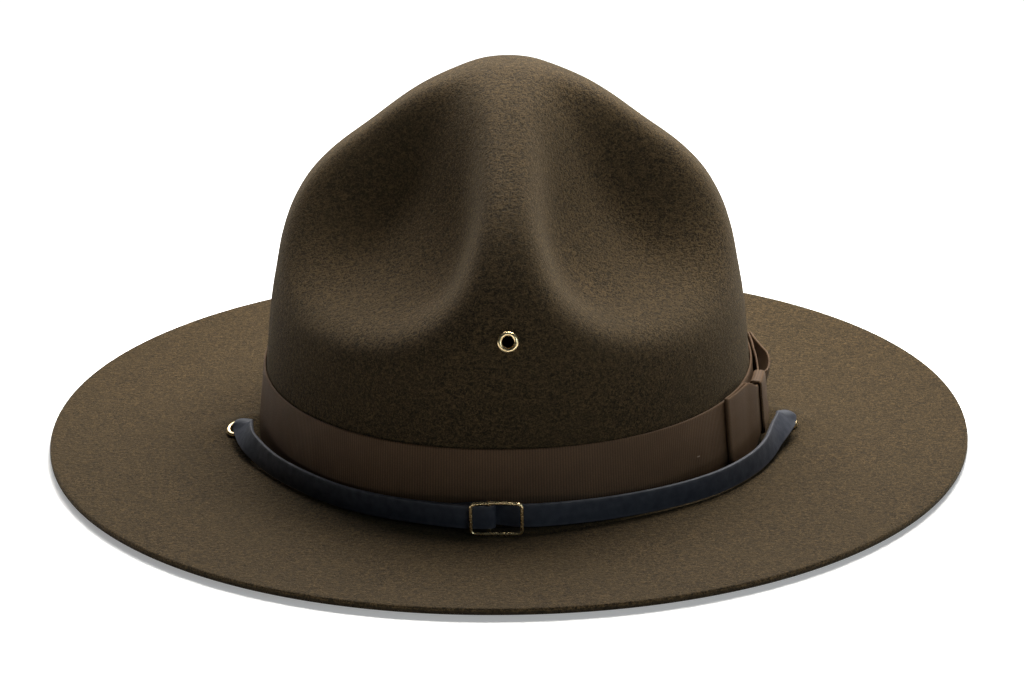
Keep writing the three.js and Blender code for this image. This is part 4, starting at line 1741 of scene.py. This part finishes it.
    def curve(self, stations: Sequence[Station]) -> tuple[Array, Array, Array, Array]:
        """Smooth centripetal curve through the stations.

        Args:
            stations: what it passes through.

        Returns:
            Points, tangents, directions across and spans at each step.
        """
        places = np.array([station.point for station in stations])
        ends = [2 * places[0] - places[1], 2 * places[-1] - places[-2]]
        knots = np.vstack([ends[0], places, ends[1]])
        points, tangents, across, spans = [], [], [], []
        for index in range(len(stations) - 1):
            p = knots[index : index + 4]
            gaps = np.maximum(np.sqrt(np.linalg.norm(np.diff(p, axis=0), axis=1)), self.least_gap)
            start = (p[1] - p[0]) / gaps[0] - (p[2] - p[0]) / (gaps[0] + gaps[1]) + (p[2] - p[1]) / gaps[1]
            end = (p[2] - p[1]) / gaps[1] - (p[3] - p[1]) / (gaps[1] + gaps[2]) + (p[3] - p[2]) / gaps[2]
            start *= gaps[1]
            end *= gaps[1]
            last = index == len(stations) - 2
            for step in range(self.steps_between + last):
                t = step / self.steps_between
                points.append(
                    (2 * t**3 - 3 * t**2 + 1) * p[1]
                    + (t**3 - 2 * t**2 + t) * start
                    + (3 * t**2 - 2 * t**3) * p[2]
                    + (t**3 - t**2) * end
                )
                tangents.append(
                    (6 * t**2 - 6 * t) * p[1]
                    + (3 * t**2 - 4 * t + 1) * start
                    + (6 * t - 6 * t**2) * p[2]
                    + (3 * t**2 - 2 * t) * end
                )
                across.append(stations[index].across * (1 - t) + stations[index + 1].across * t)
                spans.append(stations[index].span * (1 - t) + stations[index + 1].span * t)
        return np.array(points), unit(np.array(tangents)), np.array(across), np.array(spans)

    def build(self) -> bpy.types.Object:
        """Builds the strap.

        Returns:
            The strap.
        """
        points, tangents, across, spans = self.curve(self.stations())
        across = unit(across - tangents * np.sum(across * tangents, axis=1, keepdims=True))
        through = np.cross(tangents, across)
        rings, edges = [], []
        for point, side, out, span in zip(points, across, through, spans):
            curl = float(smooth_step(point[2], self.curl_from, self.curl_to))
            places, near_edge = self.section(float(span), curl)
            flip = 1 if out @ np.array([point[0], point[1], self.out_and_up]) > 0 else -1
            rings.append(point + places[:, :1] * side + places[:, 1:] * out * flip)
            edges.append(near_edge)
        made = Loft(np.array(rings)).build("strap_fine", self.crease)
        paint(made, "edge", np.concatenate([np.array(edges).ravel(), [0, 0]]))
        log.info("strap length along its middle: %.1f mm", run_along(points)[-1] / MM)
        return self.dress(made, Slot.LEATHER, "strap")


@dataclass
class Buckle(Piece):
    """Brass wire buckle with a staple of wire set back across its middle."""

    layout: BuckleLayout | None = None
    sides: int = 20
    corner_steps: int = 10
    bow_up: float = 0.35 * MM
    flat_share: float = 0.85
    flat_steps: int = 13
    crease: float = 60

    def wire(self, name: str, path: Array, radius: float, square: Array, closed: bool) -> bpy.types.Object:
        """Builds a wire along a flat path.

        Args:
            name: name of the object.
            path: its middle line.
            radius: radius of the wire.
            square: direction square to the path's plane.
            closed: whether its ends join.

        Returns:
            The wire.
        """
        ahead = loop_directions(path) if closed else unit(np.gradient(path, axis=0))
        rings = wire_rings(path, ahead, square, radius, circle(self.sides, 0.5))
        return Loft(rings, closed=closed).build(name)

    def outline(self) -> Array:
        """Middle line of the frame, in its own plane.

        Returns:
            The points.
        """
        layout = self.layout
        half_length = (layout.length - layout.wire) / 2
        half_height = (layout.height - layout.wire) / 2
        points = []
        for x_sign, z_sign, start in ((1, 1, 0.0), (-1, 1, 0.5), (-1, -1, 1.0), (1, -1, 1.5)):
            for step in range(self.corner_steps + 1):
                angle = (start + step / self.corner_steps / 2) * math.pi
                x = x_sign * (half_length - layout.corner) + layout.corner * math.cos(angle)
                z = z_sign * (half_height - layout.corner) + layout.corner * math.sin(angle)
                points.append((x, 0, z))
            if x_sign * z_sign > 0:
                flat = half_length - layout.corner
                for share in np.linspace(self.flat_share, -self.flat_share, self.flat_steps):
                    rise = self.bow_up * (1 - share**2) if z_sign > 0 else 0
                    points.append((x_sign * share * flat, 0, z_sign * half_height + rise))
        return np.array(points)

    def build(self) -> bpy.types.Object:
        """Builds the buckle.

        Returns:
            The buckle.
        """
        layout = self.layout
        layers = layout.layers()
        ring = self.wire("buckle_fine", self.outline(), layout.wire / 2, np.array([0.0, 1.0, 0.0]), True)
        depth = layers["frame"] - layers["bar"]
        half_height = (layout.height - layout.wire) / 2
        bend = layout.bar_wire
        upper = np.linspace(math.pi / 2, 0, self.corner_steps)
        legs = [
            *[(depth - bend + bend * math.cos(a), half_height - bend + bend * math.sin(a)) for a in upper],
            *[(depth - bend + bend * math.cos(a), bend - half_height - bend * math.sin(a)) for a in upper[::-1]],
        ]
        ends = ((0, half_height), *legs, (0, -half_height))
        path = np.array([(-layout.bar_aside, y, z) for y, z in ends])
        staple = self.wire("staple", path, layout.bar_wire / 2, np.array([1.0, 0.0, 0.0]), False)
        combine(ring, staple, "UNION")
        theta = layout.angle(-layout.aside)
        place = self.form.wall(theta, 0.0, layers["frame"]) + np.array([0, 0, layout.middle()])
        outwards = -self.form.inward(theta)
        turn = Matrix.Rotation(math.atan2(outwards[0], -outwards[1]), 4, "Z")
        ring.data.transform(Matrix.Translation(Vector(place)) @ turn)
        ring.data.set_sharp_from_angle(angle=math.radians(self.crease))
        return self.dress(ring, Slot.BRASS, "buckle")


@dataclass
class Eyelet(Piece):
    """Brass eyelet: rolled rim above the felt, tube through it and flange under it."""

    size: EyeletSize | None = None
    sides: int = 64
    roll_steps: int = 12
    roll_foot: float = 0.35
    crease: float = 50

    def build(self, name: str, seat: Seat, node: str) -> bpy.types.Object:
        """Builds an eyelet in its seat.

        Args:
            name: name of the piece.
            seat: where it sits.
            node: node of the frame that it stands for.

        Returns:
            The eyelet.
        """
        size = self.size
        bore = size.bore / 2
        tube = bore + size.tube
        rim = size.outer / 2
        face = size.felt / 2 + size.gap
        middle = (rim + bore) / 2
        flange = tube + (rim - tube) * size.flange_share
        arc = np.linspace(0, math.pi, self.roll_steps)
        lifts = [self.roll_foot + (1 - self.roll_foot) * math.sin(angle) for angle in arc]
        roll = [
            (middle + (rim - middle) * math.cos(angle), face + size.roll * lift) for angle, lift in zip(arc, lifts)
        ]
        section = [
            (bore, -face - size.flange),
            (flange, -face - size.flange),
            (flange, -face),
            (tube, -face),
            (tube, face),
            (rim - size.tube / 2, face),
            *roll,
        ]
        rings = np.array([[(r * math.cos(a), r * math.sin(a), z) for r, z in section] for a in circle(self.sides)])
        made = Loft(rings, closed=True).build(name, self.crease)
        made.data.transform(seat.placement())
        return self.dress(made, Slot.BRASS, node)


@dataclass
class Tack(Piece):
    """Small tack stitch low on the ribbon, ahead of the bow."""

    turn: float = 46
    height: float = 13.2 * MM
    length: float = 1.3 * MM
    thread: float = 0.34 * MM
    stand: float = 1.25 * MM
    sink: float = 0.6
    steps: int = 15
    sides: int = 10

    def build(self) -> bpy.types.Object:
        """Builds the stitch as one short loop of thread.

        Returns:
            The stitch.
        """
        theta = FRONT + math.radians(self.turn)
        middle = self.form.wall(theta, self.height, self.stand)
        inward = self.form.inward(theta)
        along = np.cross(inward, UP)
        share = np.linspace(0, math.pi, self.steps)
        path = (
            middle
            - np.cos(share)[:, None] * along * self.length / 2
            - (np.sin(share)[:, None] - self.sink) * inward * self.thread
        )
        ahead = unit(np.gradient(path, axis=0))
        rings = wire_rings(path, ahead, UP, self.thread / 2, circle(self.sides))
        return self.dress(Loft(rings).build("ribbon_tack"), Slot.RIBBON)


# Stage, lights and camera


@dataclass(frozen=True)
class Lamp:
    """Soft rectangular light: where it hangs, what it faces, its sides, power in watts and colour."""

    name: str
    place: Triple
    target: Triple
    sides: tuple[float, float]
    power: float
    colour: Colour

    def hang(self) -> None:
        """Hangs the light."""
        data = bpy.data.lights.new(self.name, "AREA")
        data.shape = "RECTANGLE"
        data.size, data.size_y = self.sides
        data.energy = self.power
        data.color = self.colour
        lamp = bpy.data.objects.new(self.name, data)
        lamp.location = self.place
        aim = Vector(self.target) - Vector(self.place)
        lamp.rotation_euler = aim.to_track_quat("-Z", "Y").to_euler()
        bpy.context.scene.collection.objects.link(lamp)


@dataclass
class Studio:
    """Pale floor, soft lights from above and the camera in front."""

    elevation: float = 18.2
    distance: float = 1.4
    sight: float = 60
    aim_height: float = 33.3 * MM
    aim_aside: float = 1.55 * MM
    roll: float = 0.765
    lens: float = 139.25
    floor_half: float = 9.0
    floor_colour: Colour = (0.86, 0.86, 0.86)
    floor_glow: float = 0.3
    unlit_from: float = 0.15
    unlit_to: float = 0.11
    surround: Colour = (0.8, 0.93, 1)
    surround_strength: float = 0.02
    lamps: tuple[Lamp, ...] = (
        Lamp("overhead", (0.06, 0.17, 0.42), (0, 0.03, 0.05), (0.44, 0.30), 7.3, (1, 0.98, 0.92)),
        Lamp("back_wide", (0, 2.2, 2.2), (0, 0, 0), (4, 2.4), 76, (1, 1, 1)),
        Lamp("front_cool", (0.9, -1.3, 0.5), (0, 0, 0.06), (0.8, 0.5), 4.6, (0.74, 0.9, 1)),
    )

    def camera(self) -> None:
        """Places the camera."""
        angle = math.radians(self.elevation)
        back = Vector((0, -math.cos(angle), math.sin(angle)))
        up = Vector((0, math.sin(angle), math.cos(angle)))
        right = Vector((1, 0, 0))
        tilt = math.radians(self.roll)
        tilted_right = right * math.cos(tilt) - up * math.sin(tilt)
        tilted_up = right * math.sin(tilt) + up * math.cos(tilt)
        data = bpy.data.cameras.new("camera")
        data.lens = self.lens
        data.clip_end = self.sight
        holder = bpy.data.objects.new("camera", data)
        turn = Matrix((tilted_right, tilted_up, back)).transposed().to_4x4()
        place = Vector((self.aim_aside, 0, self.aim_height)) + back * self.distance
        holder.matrix_world = Matrix.Translation(place) @ turn
        bpy.context.scene.collection.objects.link(holder)
        bpy.context.scene.camera = holder

    def floor(self) -> None:
        """Lays the pale floor."""
        half = self.floor_half
        corners = np.array([(-half, -half, 0), (half, -half, 0), (half, half, 0), (-half, half, 0)])
        floor = mesh_object("floor", corners, [(0, 1, 2, 3)])
        bench = Bench("pale_floor")
        # Under the crown the floor has no light of its own
        glow = bench.reach(bench.length(bench.place), self.unlit_to, self.unlit_from, 0, self.floor_glow)
        floor.data.materials.append(
            bench.finish(Base_Color=self.floor_colour, Roughness=0.9, Emission_Color=(1, 1, 1), Emission_Strength=glow)
        )

    def lights(self) -> None:
        """Hangs the lights and sets the surround."""
        for lamp in self.lamps:
            lamp.hang()
        world = bpy.data.worlds.new("surround")
        world.use_nodes = True
        shade = world.node_tree.nodes["Background"]
        shade.inputs["Color"].default_value = (*self.surround, 1)
        shade.inputs["Strength"].default_value = self.surround_strength
        bpy.context.scene.world = world
        bpy.context.scene.view_settings.view_transform = "Standard"

    def build(self) -> None:
        """Sets the whole stage."""
        self.camera()
        self.floor()
        self.lights()


def main() -> None:
    """Builds the hat piece by piece, then its stage."""
    logging.basicConfig(level=logging.INFO, format="%(name)s %(message)s")
    form = HatForm()
    Studio().build()
    felt_finish = FeltFinish().material()
    ribbon_finish = RibbonFinish().material()
    leather_finish = LeatherFinish().material()
    brass_finish = BrassFinish().material()
    vent_size = EyeletSize(outer=7.05 * MM, bore=3.9 * MM, felt=form.crown_wall)
    brim_size = EyeletSize(outer=8.7 * MM, bore=5.4 * MM, felt=form.brim_thickness)
    felt = FeltBody(form, felt_finish)
    vent_seat = felt.seat_of_vent()
    seats = {side: felt.seat_of_brim(side) for side in Side}
    felt.build([(vent_seat, vent_size), *((seat, brim_size) for seat in seats.values())])
    RibbonBand(form, ribbon_finish).build()
    bow = FlatBow(form, ribbon_finish)
    bow.build()
    BowKnot(form, ribbon_finish, thickness=bow.knot_thickness, bow=bow).build()
    layout = BuckleLayout(form)
    Strap(form, leather_finish, layout=layout, seats=seats).build()
    Buckle(form, brass_finish, layout=layout).build()
    Eyelet(form, brass_finish, size=vent_size).build("crown_eyelet_fine", vent_seat, "crown_eyelet")
    for side, seat in seats.items():
        name = f"brim_eyelet_{side.name.lower()}"
        Eyelet(form, brass_finish, size=brim_size).build(f"{name}_fine", seat, name)
    Tack(form, ThreadFinish().material()).build()


if __name__ == "__main__":
    main()
